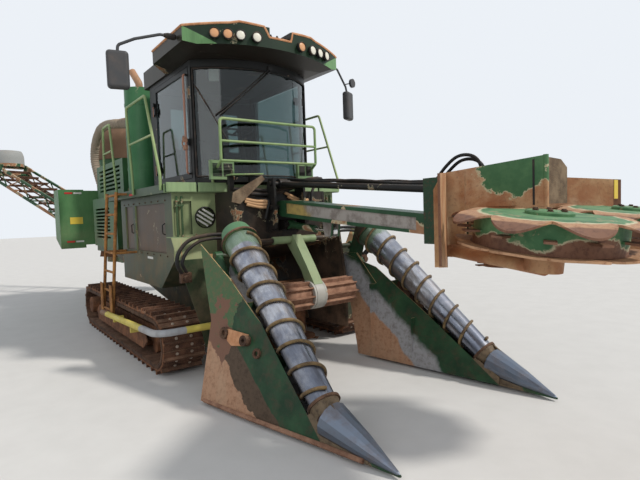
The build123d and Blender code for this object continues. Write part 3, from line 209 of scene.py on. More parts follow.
class Shade:
    """The node tree of a material, or of the world, built step by step."""

    def __init__(self, name, kind="materials"):
        self.owner = getattr(bpy.data, kind).new(name)
        self.owner.use_nodes = True
        self.tree = self.owner.node_tree
        self.place = self.node("TexCoord", {}, "Object")

    def feed(self, node, inputs):
        for key, value in inputs.items():
            socket = node.inputs[key]
            if isinstance(value, bpy.types.NodeSocket):
                self.tree.links.new(value, socket)
            else:
                socket.default_value = (*value, 1) if socket.type == "RGBA" else value
        return node

    def node(self, kind, inputs, out=0, **settings):
        """A new node with its settings and inputs, known by one of its outputs."""
        node = self.tree.nodes.new("ShaderNode" + kind)
        for key, value in settings.items():
            setattr(node, key, value)
        return self.feed(node, inputs).outputs[out]

    def noise(self, scale, detail, rough, warp=0.0, stretch=None):
        place = self.node("Mapping", {"Vector": self.place, "Scale": stretch}) if stretch else self.place
        return self.node("TexNoise", {"Vector": place, "Scale": scale, "Detail": detail, "Roughness": rough,
                                      "Distortion": warp}, "Fac")

    def step(self, value, low, high):
        """0 below low, 1 above high, smooth between."""
        return self.node("MapRange", {"Value": value, "From Min": low, "From Max": high},
                         interpolation_type="SMOOTHSTEP")

    def until(self, value, low, high):
        """1 below low, 0 above high, smooth between."""
        return self.other(self.step(value, low, high))

    def spots(self, low, high, *noise, **more):
        """Noise, as 0 where it is below low and 1 where it is above high."""
        return self.step(self.noise(*noise, **more), low, high)

    def calc(self, operation, a, b=0.0):
        return self.node("Math", {0: a, 1: b}, operation=operation)

    def both(self, a, b):
        return self.calc("MULTIPLY", a, b)

    def other(self, a):
        return self.calc("SUBTRACT", 1.0, a)

    def plus(self, value, more, share):
        return self.calc("ADD", value, self.both(more, share))

    def shaken(self, value, reach, *noise):
        """A value moved by noise, up to half of reach each way."""
        return self.plus(value, self.calc("SUBTRACT", self.noise(*noise), 0.5), reach)

    def torn(self, value, at, jag, scale, soft=0.006):
        """0 below a value and 1 above it, along a torn line."""
        return self.step(self.shaken(value, 2 * jag, scale, 9, 0.58, 0.3), at - soft, at + soft)

    def mix(self, share, a, b):
        return self.node("Mix", {0: share, 6: a, 7: b}, 2, data_type="RGBA")

    def layers(self, color, *layers):
        """Colours laid over one another, each given as (mask, colour) or (mask, share of it, colour)."""
        for mask, *share, tint in layers:
            color = self.mix(self.both(mask, *share) if share else mask, color, tint)
        return color

    def vector(self, operation, a, b=(0, 0, 0), out="Vector"):
        return self.node("VectorMath", {0: a, 1: b}, out, operation=operation)

    def away(self, origin):
        return self.vector("SUBTRACT", self.place, as_floats(origin + HOME))

    def beyond(self, origin, normal):
        """How far a place lies beyond the plane through origin: (place - origin) . normal."""
        return self.vector("DOT_PRODUCT", self.away(origin), as_floats(unit(normal)), "Value")

    def aside(self):
        """Distance from the machine's middle plane."""
        return self.calc("ABSOLUTE", self.beyond(0 * Y, Y))

    def off_axis(self, origin, direction):
        """Distance from the line through origin: |(place - origin) x direction|."""
        cross = self.vector("CROSS_PRODUCT", self.away(origin), as_floats(unit(direction)))
        return self.vector("LENGTH", cross, out="Value")

    def near(self, origin, stretch):
        """Distance from a point, with each axis stretched by its own factor."""
        return self.vector("LENGTH", self.vector("MULTIPLY", self.away(origin), stretch), out="Value")

    def height(self):
        return self.node("SeparateXYZ", {"Vector": self.place}, "Z")

    def facing_up(self):
        return self.node("SeparateXYZ", {"Vector": self.node("NewGeometry", {}, "Normal")}, "Z")

    def look(self, normal):
        """How squarely a face looks along a normal, from -1 to 1."""
        return self.vector("DOT_PRODUCT", self.node("NewGeometry", {}, "Normal"), as_floats(normal), "Value")

    def facing(self, normal, low, high):
        return self.step(self.look(normal), low, high)

    def facing_aside(self, low, high):
        return self.step(self.calc("ABSOLUTE", self.look(Y)), low, high)

    def finish(self, color, rough, *bumps, metal=0.0, shine=0.22, **more):
        """The material; its bumps are given as (height, depth, strength), each on top of the last."""
        inputs = {"Base Color": color, "Roughness": rough, "Metallic": metal, "Specular IOR Level": shine, **more}
        under = {}
        for height, depth, strength in bumps:
            under = {"Normal": self.node("Bump", {"Height": height, "Distance": depth, "Strength": strength, **under})}
        self.feed(self.tree.nodes["Principled BSDF"], {**inputs, **under})
        return self.owner


RUST_DARK = (0.085, 0.038, 0.022)
RUST = (0.23, 0.10, 0.048)
RUST_PALE = (0.42, 0.24, 0.135)
DUST = (0.40, 0.25, 0.16)
CREAM = (0.50, 0.46, 0.30)
RUNS = (1, 1, 0.2)       # noise stretched like this runs down


def darker(color, share):
    return tuple(c * share for c in color)


def no_zones(s):
    return ()


def paint(name, base, faded, worn, dust=0.5, zones=no_zones):
    """Faded paint with runs, chips through to rust with a pale rim, and dust on tops and low down.

    zones gives (mask, color) pairs that are laid over the paint before it is worn.
    """
    s = Shade(name)
    field, edge = s.noise(2.4, 12, 0.68, 0.4), 0.70 - worn * 0.32
    rim, chip = s.step(field, edge, edge + 0.015), s.step(field, edge + 0.015, edge + 0.03)
    rust = s.layers(RUST_DARK, (s.spots(0.35, 0.65, 6, 8, 0.65), RUST),
                    (s.spots(0.4, 0.75, 84, 4, 0.7), 0.55, RUST_PALE))
    runs = s.spots(0.45, 0.75, 5, 5, 0.65, stretch=(1.6, 1.6, 0.16))
    tops = s.calc("MAXIMUM", s.step(s.facing_up(), 0.2, 1.0), s.until(s.height(), 0.2, 2.4))
    settled = s.both(tops, s.spots(0.3, 0.75, 3.5, 8, 0.7))
    color = s.layers(base, (s.spots(0.35, 0.7, 1.3, 5, 0.6), faded), *zones(s), (runs, 0.35, darker(base, 0.5)),
                     (rim, 0.6, CREAM), (chip, rust), (s.spots(0.62, 0.70, 60, 4, 0.7), 0.5 * worn, RUST_DARK),
                     (settled, dust, DUST))
    return s.finish(color, s.plus(0.42, s.calc("MAXIMUM", chip, settled), 0.35), (chip, 0.0015, 1.0),
                    (s.noise(45, 6, 0.6), 0.0012, 0.5))


def camouflage(name, green, green_share, zones=no_zones):
    """Paint worn off by the crop: green islands with a cream edge on bare rusty steel, then the zones."""
    s = Shade(name)
    field, edge = s.noise(1.6, 9, 0.55, 0.6), 0.62 - green_share * 0.25
    island = s.step(field, edge, edge + 0.012)
    rim = s.both(s.step(field, edge - 0.025, edge - 0.005), s.other(island))
    left = s.mix(s.spots(0.35, 0.7, 3, 5, 0.6), green, darker(green, 0.62))
    color = s.layers((0.33, 0.165, 0.085), (s.spots(0.45, 0.72, 22, 7, 0.7), (0.20, 0.092, 0.05)),
                     (s.spots(0.42, 0.7, 4, 6, 0.7, stretch=RUNS), 0.5, (0.45, 0.30, 0.19)),
                     (rim, 0.75, CREAM), (island, left), *zones(s))
    return s.finish(color, s.plus(0.42, s.other(island), 0.25), (island, 0.0012, 1.0),
                    (s.noise(70, 6, 0.65), 0.001, 0.6))


def rusty(name, dark=RUST_DARK, light=RUST, dust=0.4, scale=9.0, rough=0.85):
    """Bare rusty steel, pitted, with dust where it can settle."""
    s = Shade(name)
    settled = s.both(s.step(s.facing_up(), 0.1, 0.9), s.spots(0.3, 0.7, 5, 7, 0.7))
    color = s.layers(dark, (s.spots(0.35, 0.66, scale, 9, 0.65), light),
                     (s.spots(0.5, 0.75, scale * 12, 5, 0.7), 0.5, RUST_PALE), (settled, dust, DUST))
    return s.finish(color, rough, (s.noise(scale * 10, 7, 0.7), 0.002, 0.8))


def worn_steel(name, tint, smudge, rough):
    """Steel polished by the crop, with scratches and brown smudges."""
    s = Shade(name)
    smear = s.spots(0.42, 0.74, 7, 7, 0.65, stretch=(1, 1, 1.6))
    scratch = s.noise(90, 4, 0.6, stretch=(0.15, 1, 1))
    return s.finish(s.layers(tint, (smear, smudge, (0.16, 0.105, 0.075))),
                    s.plus(s.plus(rough, smear, 0.3), scratch, 0.12), (scratch, 0.0004, 0.5), metal=0.95, shine=0.5)


def plastic(name, color, dust=0.35, rough=0.5, grain=220.0):
    """Moulded plastic or rubber with a fine grain and dust."""
    s = Shade(name)
    cloud = s.spots(0.35, 0.75, 4, 7, 0.65)
    top = s.calc("MAXIMUM", s.step(s.facing_up(), 0.0, 1.0), s.both(cloud, 0.5))
    return s.finish(s.layers(color, (s.both(top, cloud), dust, DUST)), s.plus(rough, cloud, 0.2),
                    (s.noise(grain, 3, 0.6), 0.0005, 0.5))


def pane(name, tint):
    """Tinted safety glass with a film of dust."""
    s = Shade(name)
    return s.finish(tint, s.plus(0.03, s.spots(0.5, 0.85, 9, 8, 0.7), 0.22), shine=0.25, IOR=1.45,
                    **{"Transmission Weight": 1.0})


# Places on the machine that the paint and the small pieces share
SCROLL_TOP, SCROLL_END = (3.14, 0.91, 1.49), (4.64, 1.03, 0.29)
SCROLL_RADII = (0.165, 0.112)
ROTOR_HUB = (6.20, 0.56, 1.712)
ROTOR_AXIS = np.array([math.sin(math.radians(7)), 0.0, math.cos(math.radians(7))])
ROTOR_ACROSS = unit(np.cross(Y, ROTOR_AXIS))
ROTOR_PLANE = (ROTOR_ACROSS, np.cross(ROTOR_AXIS, ROTOR_ACROSS))
EXHAUST = (-0.3, -0.8)


def scroll_line(side):
    """A scroll's upper and lower end, the direction between them and their distance."""
    top, end = on_side((SCROLL_TOP, SCROLL_END), side)
    return top, end, unit(end - top), float(np.linalg.norm(end - top))


def divider_paint(name, side):
    """Dark green beside the scroll, then a dark brown band of painted shadow and bare rust with torn edges, worn primer
    inside, and a tan painted highlight on faces that look up.
    """
    s = Shade("divider_paint_" + name)
    top, _, run, length = scroll_line(side)
    below = s.beyond(top, (run[2], 0, -run[0]))
    along, off = s.beyond(top, run), s.off_axis(top, run)
    speck = s.spots(0.42, 0.72, 22, 8, 0.72)
    streak = s.spots(0.42, 0.72, 5, 6, 0.7, stretch=RUNS)
    green = s.layers((0.013, 0.040, 0.019), (s.spots(0.35, 0.7, 3.2, 6, 0.6), (0.030, 0.080, 0.036)),
                     (s.spots(0.46, 0.66, 9, 9, 0.7, 0.4), 0.65, (0.060, 0.045, 0.028)))
    rust = s.layers((0.40, 0.225, 0.135), (speck, (0.24, 0.125, 0.072)), (streak, 0.4, (0.46, 0.33, 0.22)))
    # The dark brown band is painted shadow: the outer plate's colour where a shadow falls across it.
    shadow_olive = s.mix(speck, (0.085, 0.055, 0.034), (0.045, 0.030, 0.020))
    primer = s.mix(speck, (0.32, 0.32, 0.33), (0.19, 0.175, 0.17))
    mottle = s.layers((0.17, 0.085, 0.055), (s.torn(s.height(), 0.85, 0.9, 7.0, 0.03), (0.060, 0.12, 0.050)),
                      (speck, 0.6, (0.20, 0.11, 0.07)))
    rust_edge = s.torn(below, 0.55, 0.20, 2.6)
    heel = s.both(s.other(s.torn(s.beyond(3.5 * X, X), 0.02, 0.30, 3.2)), s.other(s.torn(below, 0.66, 0.25, 3.0)))
    outside = s.layers(green, (s.torn(below, 0.375, 0.06, 3.0), shadow_olive), (rust_edge, rust), (heel, mottle))
    inside = s.layers(green, (s.torn(below, 0.40, 0.12, 2.6, 0.04), primer),
                      (s.torn(below, 0.60, 0.12, 2.0, 0.015), rust))
    # Painted highlight: faces that look up, above 0.3 m, turn tan as if lit by the sun.
    sunlit_ridge = s.both(s.step(s.facing_up(), 0.30, 0.45), s.until(s.height(), 0.3, 0.2))
    cap = s.both(s.until(off, 0.198, 0.202), s.until(along, -0.004, -0.001))
    foot = s.both(s.until(off, 0.150, 0.155), s.step(along, length, length + 0.002))
    color = s.layers(inside, (s.step(s.beyond(0 * Y, side * Y), 0.93, 0.94), outside),
                     (sunlit_ridge, 0.8, s.mix(streak, (0.52, 0.35, 0.18), (0.30, 0.27, 0.13))),
                     (cap, (0.105, 0.215, 0.115) if side < 0 else (0.055, 0.045, 0.032)),
                     (foot, s.mix(speck, (0.16, 0.115, 0.07), (0.07, 0.05, 0.035))))
    return s.finish(color, s.plus(0.48, speck, 0.2), (rust_edge, 0.0012, 1.0), (s.noise(70, 6, 0.65), 0.001, 0.6))


def scroll_paint(name, side):
    """Polished tube and rusty flight: a place is flight where it is further off the axis than the tube."""
    s = Shade("scroll_steel_" + name)
    top, _, run, length = scroll_line(side)
    along = s.beyond(top, run)
    taper = (SCROLL_RADII[0] - SCROLL_RADII[1]) / length
    over = s.plus(s.calc("SUBTRACT", s.off_axis(top, run), SCROLL_RADII[0]), along, taper)
    flight = s.step(over, 0.004, 0.007)
    left_paint = s.other(s.torn(along, 0.17, 0.20, 5.0, 0.03))
    smear = s.spots(0.38, 0.66, 5, 9, 0.72, stretch=(0.5, 3.0, 0.5))
    steel = s.layers((0.50, 0.51, 0.55), (smear, 0.85, (0.13, 0.105, 0.09)),
                     (s.spots(0.44, 0.60, 3.5, 7, 0.65), 0.6, (0.16, 0.18, 0.24)),
                     (s.torn(along, length * 0.68, 0.35, 3.0, 0.10), 0.55, (0.075, 0.09, 0.125)),
                     (left_paint, 0.75, (0.13, 0.22, 0.12)))
    rim = s.mix(s.step(over, 0.020, 0.026), (0.12, 0.075, 0.04), (0.34, 0.25, 0.12))
    rough = s.calc("MAXIMUM", s.plus(0.24, smear, 0.26), s.both(flight, 0.7))
    metal = s.both(s.both(s.other(flight), s.other(s.both(left_paint, 0.6))), 0.92)
    scratch = s.noise(70, 4, 0.6, stretch=(0.2, 1.5, 0.2))
    return s.finish(s.mix(flight, steel, rim), rough, (scratch, 0.0005, 0.5), metal=metal)


def topper_paint():
    """Bare brown steel, speckled, with an island of green left near the top of the middle walls."""
    s = Shade("topper_paint")
    grain = s.spots(0.50, 0.70, 40, 7, 0.75)
    island = s.shaken(s.near((5.68, 0.0, 2.02), (0.9, 0.6, 1.5)), 0.30, 9, 9, 0.7)
    green = s.mix(s.spots(0.4, 0.6, 4, 5, 0.6), (0.050, 0.135, 0.060), (0.085, 0.19, 0.085))
    pins = s.until(s.beyond(5.13 * X, X), 0.0, 0.004)
    color = s.layers((0.47, 0.29, 0.155), (s.spots(0.38, 0.62, 3.0, 9, 0.66, 0.3), (0.34, 0.155, 0.075)),
                     (s.spots(0.50, 0.66, 1.6, 8, 0.7), 0.5, (0.56, 0.42, 0.27)), (grain, 0.5, (0.17, 0.085, 0.05)),
                     (s.other(s.torn(island, 0.245, 0.16, 2.8)), CREAM),
                     (s.other(s.torn(island, 0.230, 0.16, 2.8)), green),
                     (pins, s.mix(grain, (0.022, 0.050, 0.026), (0.085, 0.045, 0.028))),
                     (s.step(s.aside(), 1.075, 1.085), s.mix(grain, (0.15, 0.070, 0.040), (0.085, 0.042, 0.028))))
    return s.finish(color, 0.62, (grain, 0.0008, 1.0), (s.noise(12, 6, 0.6), 0.004, 0.5))


def disc_paint(name, side):
    """Green middle with a cream edge and rusty lobes; the drum below is green above and rusty below."""
    s = Shade("disc_paint_" + name)
    hub = on_side(ROTOR_HUB, side)
    out, high = s.off_axis(hub, ROTOR_AXIS), s.beyond(hub, ROTOR_AXIS)
    speck = s.spots(0.45, 0.70, 30, 7, 0.72)
    rust = s.mix(speck, (0.43, 0.25, 0.14), (0.24, 0.11, 0.060))
    dark_rust = s.mix(speck, (0.19, 0.095, 0.058), (0.11, 0.052, 0.034))
    green = s.layers((0.12, 0.24, 0.11), (s.spots(0.4, 0.62, 6, 8, 0.66), (0.050, 0.14, 0.060)),
                     (s.spots(0.58, 0.62, 11, 9, 0.7), 0.8, (0.33, 0.25, 0.15)))
    top = s.layers(green, (s.torn(out, 0.385, 0.06, 4.0), CREAM), (s.torn(out, 0.405, 0.06, 4.0), rust))
    color = s.layers(dark_rust, (s.torn(high, -0.106, 0.15, 3.2), s.mix(s.torn(high, -0.098, 0.15, 3.2), CREAM, green)),
                     (s.step(out, 0.41, 0.415), s.mix(s.step(high, -0.15, -0.13), rust, dark_rust)),
                     (s.step(high, -0.022, -0.016), top))
    return s.finish(color, 0.55, (s.noise(30, 7, 0.7), 0.0015, 0.6))


def cabinet_sunlit_front_and_recesses(s):
    """Pale front, painted sunlight on the faces that look forwards, and brown recesses in the sides."""
    out = s.aside()
    deep = s.both(s.until(out, 1.186, 1.190), s.step(out, 1.170, 1.175))
    # The first zone is painted sunlight: faces that look forwards are made pale.
    return ((s.facing(X, 0.6, 0.75), (0.20, 0.25, 0.125)),
            (s.both(deep, s.facing_aside(0.7, 0.8)), (0.075, 0.055, 0.040)))


def deck_sunlit_front(s):
    # Painted sunlight: faces that look forwards are made pale.
    return ((s.facing(X, 0.6, 0.75), (0.25, 0.35, 0.18)),)


def roof_zones(s):
    """Black below, dark brown at the sides, a light green wedge at each end of the fascia, rust on top."""
    slope = 1.9
    front = s.both(s.facing(X, 0.5, 0.6), s.step(s.beyond(2.2 * X, X), 0.0, 0.01))
    over = s.calc("SUBTRACT", s.aside(), s.both(s.height(), slope))
    wedge = s.step(over, 0.80 - 3.745 * slope, 0.81 - 3.745 * slope)
    return ((s.facing_aside(0.6, 0.7), (0.030, 0.026, 0.018)), (s.both(front, wedge), (0.13, 0.27, 0.11)),
            (s.facing(-Z, 0.1, 0.3), (0.018, 0.014, 0.011)),
            (s.both(s.step(s.facing_up(), 0.5, 0.7), s.spots(0.35, 0.6, 4, 7, 0.65)), (0.36, 0.17, 0.075)))


def chassis_painted_shade(s):
    """Near black in the throat and between the cabinets: painted shade where the gap lies in shadow."""
    ahead = s.step(s.beyond(1.2 * X, X), 0.0, 0.3)
    # Painted shade: places ahead of X 1.2 m and within 0.66 m of the middle go near black.
    return ((s.both(s.until(s.aside(), 0.66, 0.68), ahead), (0.012, 0.011, 0.010)),)


def lower_arm_zones(s):
    """The web in worn grey, yellow towards the pivot; the flanges stay green."""
    web = s.both(s.facing_aside(0.7, 0.8), s.until(s.aside(), 0.120, 0.124))
    yellow = s.both(web, s.other(s.torn(s.beyond(3.25 * X, X), 0.0, 0.5, 2.2, 0.10)))
    worn = s.spots(0.42, 0.62, 6, 8, 0.7)
    return ((web, s.mix(worn, (0.34, 0.31, 0.28), (0.20, 0.17, 0.15))),
            (yellow, s.mix(worn, (0.42, 0.31, 0.10), (0.26, 0.19, 0.08))))


def wedge_zones(s):
    """Cream along the top with tan runs."""
    runs = s.spots(0.48, 0.52, 7, 4, 0.5, stretch=(1, 1.4, 0.05))
    return ((s.step(s.height(), 1.30, 1.31), s.mix(runs, (0.33, 0.37, 0.20), (0.52, 0.31, 0.15))),)


def exhaust_zones(s):
    """The inner pipe and the rim of the outer one are rusty."""
    rust = (0.40, 0.22, 0.125)
    return (s.until(s.off_axis((*EXHAUST, 3.0), Z), 0.21, 0.215), rust), (s.step(s.height(), 3.815, 3.82), rust)


def door_zones(s):
    """The grab rod outside the door is bare rusty steel."""
    return ((s.until(s.beyond(0 * Y, Y), -0.884, -0.880), (0.34, 0.17, 0.12)),)


def guard_zones(s):
    """Yellow sleeves on a grey bar."""
    x, y = s.beyond(0 * X, X), s.beyond(0 * Y, Y)
    bend = s.both(s.step(x, 2.02, 2.03), s.until(y, -1.32, -1.31))
    return ((s.step(x, 0.44, 0.45), (0.62, 0.52, 0.10)), (bend, (0.38, 0.40, 0.42)))


BLACK, FADED_BLACK = (0.005, 0.006, 0.005), (0.012, 0.012, 0.012)
GREEN = paint("green_paint", (0.022, 0.080, 0.030), (0.050, 0.130, 0.050), 0.32)
SIDE_GREEN = paint("cabinet_paint_and_sunlight", (0.030, 0.050, 0.028), (0.052, 0.078, 0.042), 0.24, zones=cabinet_sunlit_front_and_recesses)
DECK_GREEN = paint("deck_paint_and_sunlight", (0.028, 0.058, 0.028), (0.050, 0.090, 0.040), 0.28, zones=deck_sunlit_front)
TANK_GREEN = paint("tank_paint", (0.065, 0.17, 0.065), (0.10, 0.22, 0.09), 0.26, 0.4)
EXHAUST_GREEN = paint("exhaust_paint", (0.040, 0.145, 0.060), (0.070, 0.20, 0.085), 0.22, zones=exhaust_zones)
ROOF_GREEN = paint("roof_paint", (0.008, 0.020, 0.010), (0.014, 0.032, 0.016), 0.24, 0.18, roof_zones)
CHASSIS_GREEN = paint("chassis_paint_and_shade", (0.013, 0.028, 0.015), (0.030, 0.052, 0.026), 0.34, zones=chassis_painted_shade)
WEDGE_GREEN = paint("wedge_paint", (0.013, 0.030, 0.016), (0.028, 0.055, 0.026), 0.34, 0.3, wedge_zones)
ENGINE_GREEN = paint("engine_paint", (0.018, 0.058, 0.024), (0.045, 0.10, 0.042), 0.34, 0.45)
PALE_GREEN = paint("rail_paint", (0.17, 0.27, 0.11), (0.30, 0.38, 0.17), 0.24, 0.3)
LIGHT_GREEN = paint("light_green_paint", (0.14, 0.23, 0.11), (0.25, 0.32, 0.17), 0.26, 0.3)
PALE_GREY = paint("pale_grey_paint", (0.34, 0.34, 0.31), (0.44, 0.43, 0.39), 0.26, 0.3)
BLACK_PAINT = paint("black_paint", BLACK, FADED_BLACK, 0.26, 0.14)
DOOR_PAINT = paint("door_paint", BLACK, FADED_BLACK, 0.24, 0.14, door_zones)
GUARD_PAINT = paint("guard_paint", (0.14, 0.075, 0.04), (0.20, 0.11, 0.06), 0.22, 0.3, guard_zones)
WORN_GREEN = camouflage("worn_green_paint", (0.035, 0.095, 0.042), 0.62)
LOWER_ARM = camouflage("lower_arm_paint", (0.025, 0.080, 0.035), 0.75, lower_arm_zones)
TOPPER_BROWN = topper_paint()
GUSSET_BROWN = rusty("gusset_brown", (0.10, 0.070, 0.046), (0.21, 0.155, 0.10), 0.3)
FLIGHT_BROWN = rusty("flight_brown", (0.055, 0.038, 0.024), (0.21, 0.145, 0.065), 0.25, 14.0, 0.6)
TRACK_RUST = rusty("track_rust", (0.042, 0.021, 0.015), (0.125, 0.060, 0.037), 0.5)
RUST_STEEL = rusty("rusty_steel")
DARK_RUST = rusty("dark_rust", (0.035, 0.020, 0.014), (0.10, 0.055, 0.035), 0.4)
LADDER_RUST = rusty("ladder_rust", (0.20, 0.085, 0.03), (0.42, 0.20, 0.06), 0.25)
ROLLER_RUST = rusty("roller_rust", (0.17, 0.085, 0.055), (0.34, 0.19, 0.125), 0.3)
RIM_RUST = rusty("rim_rust", (0.42, 0.19, 0.09), (0.62, 0.33, 0.18), 0.3)
STEEL = worn_steel("point_steel", (0.17, 0.20, 0.25), 0.45, 0.26)
ROD_STEEL = worn_steel("rod_steel", (0.72, 0.72, 0.71), 0.1, 0.12)
CHAIN_STEEL = worn_steel("chain_steel", (0.58, 0.50, 0.42), 0.5, 0.42)
BLACK_PLASTIC = plastic("black_plastic", (0.018, 0.018, 0.018))
MIRROR_PLASTIC = plastic("mirror_plastic", (0.055, 0.057, 0.060), 0.2, 0.4)
BROWN_PLASTIC = plastic("brown_plastic", (0.15, 0.09, 0.055), 0.6, 0.7)
GREY_PLASTIC = plastic("grey_plastic", (0.30, 0.31, 0.30), 0.4, 0.6)
TAN_SLEEVE = plastic("tan_sleeve", (0.50, 0.30, 0.16), 0.3, 0.7)
DUCT_GREY = plastic("duct_grey", (0.26, 0.22, 0.17), 0.5, 0.7)
YELLOW = plastic("yellow_plate", (0.62, 0.46, 0.06), 0.4, 0.5)
RED_STRIP = plastic("red_strip", (0.45, 0.03, 0.03), 0.2, 0.35)
PALE_STRIP = plastic("pale_strip", (0.62, 0.62, 0.58), 0.2, 0.35)
RUBBER = plastic("rubber", (0.012, 0.012, 0.012), 0.3, 0.5, 400.0)
FABRIC = plastic("seat_cloth", (0.03, 0.03, 0.033), 0.3, 0.9, 600.0)
LAMP_PALE = plastic("lamp_reflector", (0.72, 0.70, 0.60), 0.15, 0.25, 90.0)
LAMP_AMBER = plastic("amber_reflector", (0.62, 0.33, 0.17), 0.15, 0.25, 90.0)
GLASS = pane("cab_pane", (0.25, 0.33, 0.33))
ROTOR_PAINT = {name: disc_paint(name, side) for name, side in SIDES}

FINISHES = [
    (GREEN, "engine_cover extractor_base rear_carrier"),
    (SIDE_GREEN, "cabinets"), (DECK_GREEN, "deck"), (TANK_GREEN, "rear_tanks"), (EXHAUST_GREEN, "exhaust"),
    (ROOF_GREEN, "cab_roof"), (CHASSIS_GREEN, "chassis"), (ENGINE_GREEN, "engine"),
    (PALE_GREEN, "handrails front_rail"), (GUARD_PAINT, "guard_tube"), (DOOR_PAINT, "door_frame"),
    (BLACK_PAINT, "cab_frame topper_mast topper_upper_arm air_cleaner roof_lamps"),
    (LIGHT_GREEN, "knockdown_arm"), (TOPPER_BROWN, "topper_head"), (LOWER_ARM, "topper_lower_arm"),
    (WORN_GREEN, "elevator_frame topper_ram_barrel divider_ram_barrel_left divider_ram_barrel_right"),
    (TRACK_RUST, "track_left track_right elevator_chain"), (ROLLER_RUST, "knockdown_roller"),
    (RUST_STEEL, "track_frame_left track_frame_right cutter_legs cutter_disc_left cutter_disc_right "
                 "extractor_fan elevator_table topper_cutter"),
    (LADDER_RUST, "ladder"), (ROD_STEEL, "divider_ram_rod_left divider_ram_rod_right topper_ram_rod"),
    (MIRROR_PLASTIC, "mirrors"), (BLACK_PLASTIC, "console"), (BROWN_PLASTIC, "extractor_hood"),
    (GREY_PLASTIC, "elevator_hood"), (GLASS, "cab_glass door_glass"), (FABRIC, "seat"),
]
for name, side in SIDES:
    FINISHES += [(divider_paint(name, side), "divider_" + name), (scroll_paint(name, side), "scroll_" + name),
                 (ROTOR_PAINT[name], "topper_rotor_" + name)]
for material, names in FINISHES:
    for name in names.split():
        for slot in nodes[name].material_slots:
            slot.material = material


# Running gear

TRACK_Y, SHOE_HALF, SHOES = 1.29, 0.23, 50
LOOP_R, LOOP_FRONT, LOOP_REAR, AXLE_Z = 0.308, 2.13, -1.25, 0.35
LOOP_RUN, LOOP_BEND = LOOP_FRONT - LOOP_REAR, np.pi * LOOP_R
# Outlines along the loop: shares of a shoe's pitch, and heights over the loop
SHOE_END = ((0.05, 0), (0.42, 0), (0.45, 0.042), (0.55, 0.042), (0.58, 0), (0.95, 0), (0.95, -0.018), (0.05, -0.018))
CHAIN_LINK = ((0.08, -0.030), (0.92, -0.030), (1.02, -0.045), (1.02, -0.062), (0.92, -0.072), (0.08, -0.072),
              (-0.02, -0.062), (-0.02, -0.045))


def loop_place(shoe):
    """The track loop's outer face and its normal, so many shoes along: two straight runs joined by half circles."""
    s = shoe / SHOES % 1 * 2 * (LOOP_RUN + LOOP_BEND)
    if s < LOOP_RUN:
        x, turn = LOOP_FRONT - s, np.pi / 2
    elif s < LOOP_RUN + LOOP_BEND:
        x, turn = LOOP_REAR, np.pi / 2 + (s - LOOP_RUN) / LOOP_R
    elif s < 2 * LOOP_RUN + LOOP_BEND:
        x, turn = LOOP_REAR + s - LOOP_RUN - LOOP_BEND, 3 * np.pi / 2
    else:
        x, turn = LOOP_FRONT, 3 * np.pi / 2 + (s - 2 * LOOP_RUN - LOOP_BEND) / LOOP_R
    out = np.array([np.cos(turn), 0, np.sin(turn)])
    return (x, 0, AXLE_Z) + LOOP_R * out, out


def track_fittings(name, side):
    """Per shoe four bolts, an end plate that follows its cross bar, and the chain's links on both sides."""
    middle = side * TRACK_Y
    bolts, ends, links = [], [], []
    for shoe in range(SHOES):
        for share in (0.24, 0.76):
            place, out = loop_place(shoe + share)
            bolts += bolt_heads([place + (middle + y) * Y for y in (-0.085, 0.085)], out, 0.013, 0.011)
        for outline, forms, clear, thick in ((SHOE_END, ends, 0.006, 0.007), (CHAIN_LINK, links, 0.010, 0.011)):
            spots = [(*loop_place(shoe + share), high) for share, high in outline]
            rim = np.array([place + out * high for place, out, high in spots])
            forms += [slab(rim + (middle + y) * Y, Y, thick) for y in (-SHOE_HALF - clear, SHOE_HALF - 0.001)]
    piece("shoe_bolts_" + name, bolts, CHAIN_STEEL, flat=True)
    piece("shoe_ends_" + name, ends, RUST_STEEL, flat=True)
    piece("chain_links_" + name, links, DARK_RUST, flat=True)
    hubs = [turned([(-0.01, 0.001), (0.018, r * 0.5), (0.018, r * 0.9), (0.0, r), (-0.012, r)],
                   (x, middle + side * y, AXLE_Z), side * Y, 24)
            for x, y, r in ((LOOP_FRONT, 0.13, 0.085), (LOOP_REAR, 0.19, 0.130))]
    piece("wheel_hubs_" + name, hubs, RUST_STEEL)


# Roof

BOW_NOSE, BOW_CORNER, BOW_HALF = 2.6, 2.31, 1.1      # the fascia's furthest X, its corner's X and half its width
BOW_R = (BOW_HALF ** 2 + (BOW_NOSE - BOW_CORNER) ** 2) / (2 * (BOW_NOSE - BOW_CORNER))
LAMP_ROW, LAMP_Z = (-0.78, -0.64, -0.50, -0.31, 0.31, 0.50, 0.64, 0.78), 3.823      # the lamps' Y, and their Z
AMBER_LAMPS = (-0.78, -0.64, 0.31)
ROOF_EDGE = np.array([(-1.10, 3.905), (-0.60, 3.965), (-0.50, 3.990), (-0.20, 3.975), (-0.135, 3.862), (0.17, 3.862),
                      (0.20, 3.975), (0.50, 3.990), (0.60, 3.965), (1.10, 3.905)])


def bow_point(y, z):
    """A point of the fascia's bow, and the bow's normal there."""
    depth = math.sqrt(BOW_R ** 2 - y ** 2)
    return np.array([BOW_NOSE - BOW_R + depth, y, z]), unit((depth, y, 0))


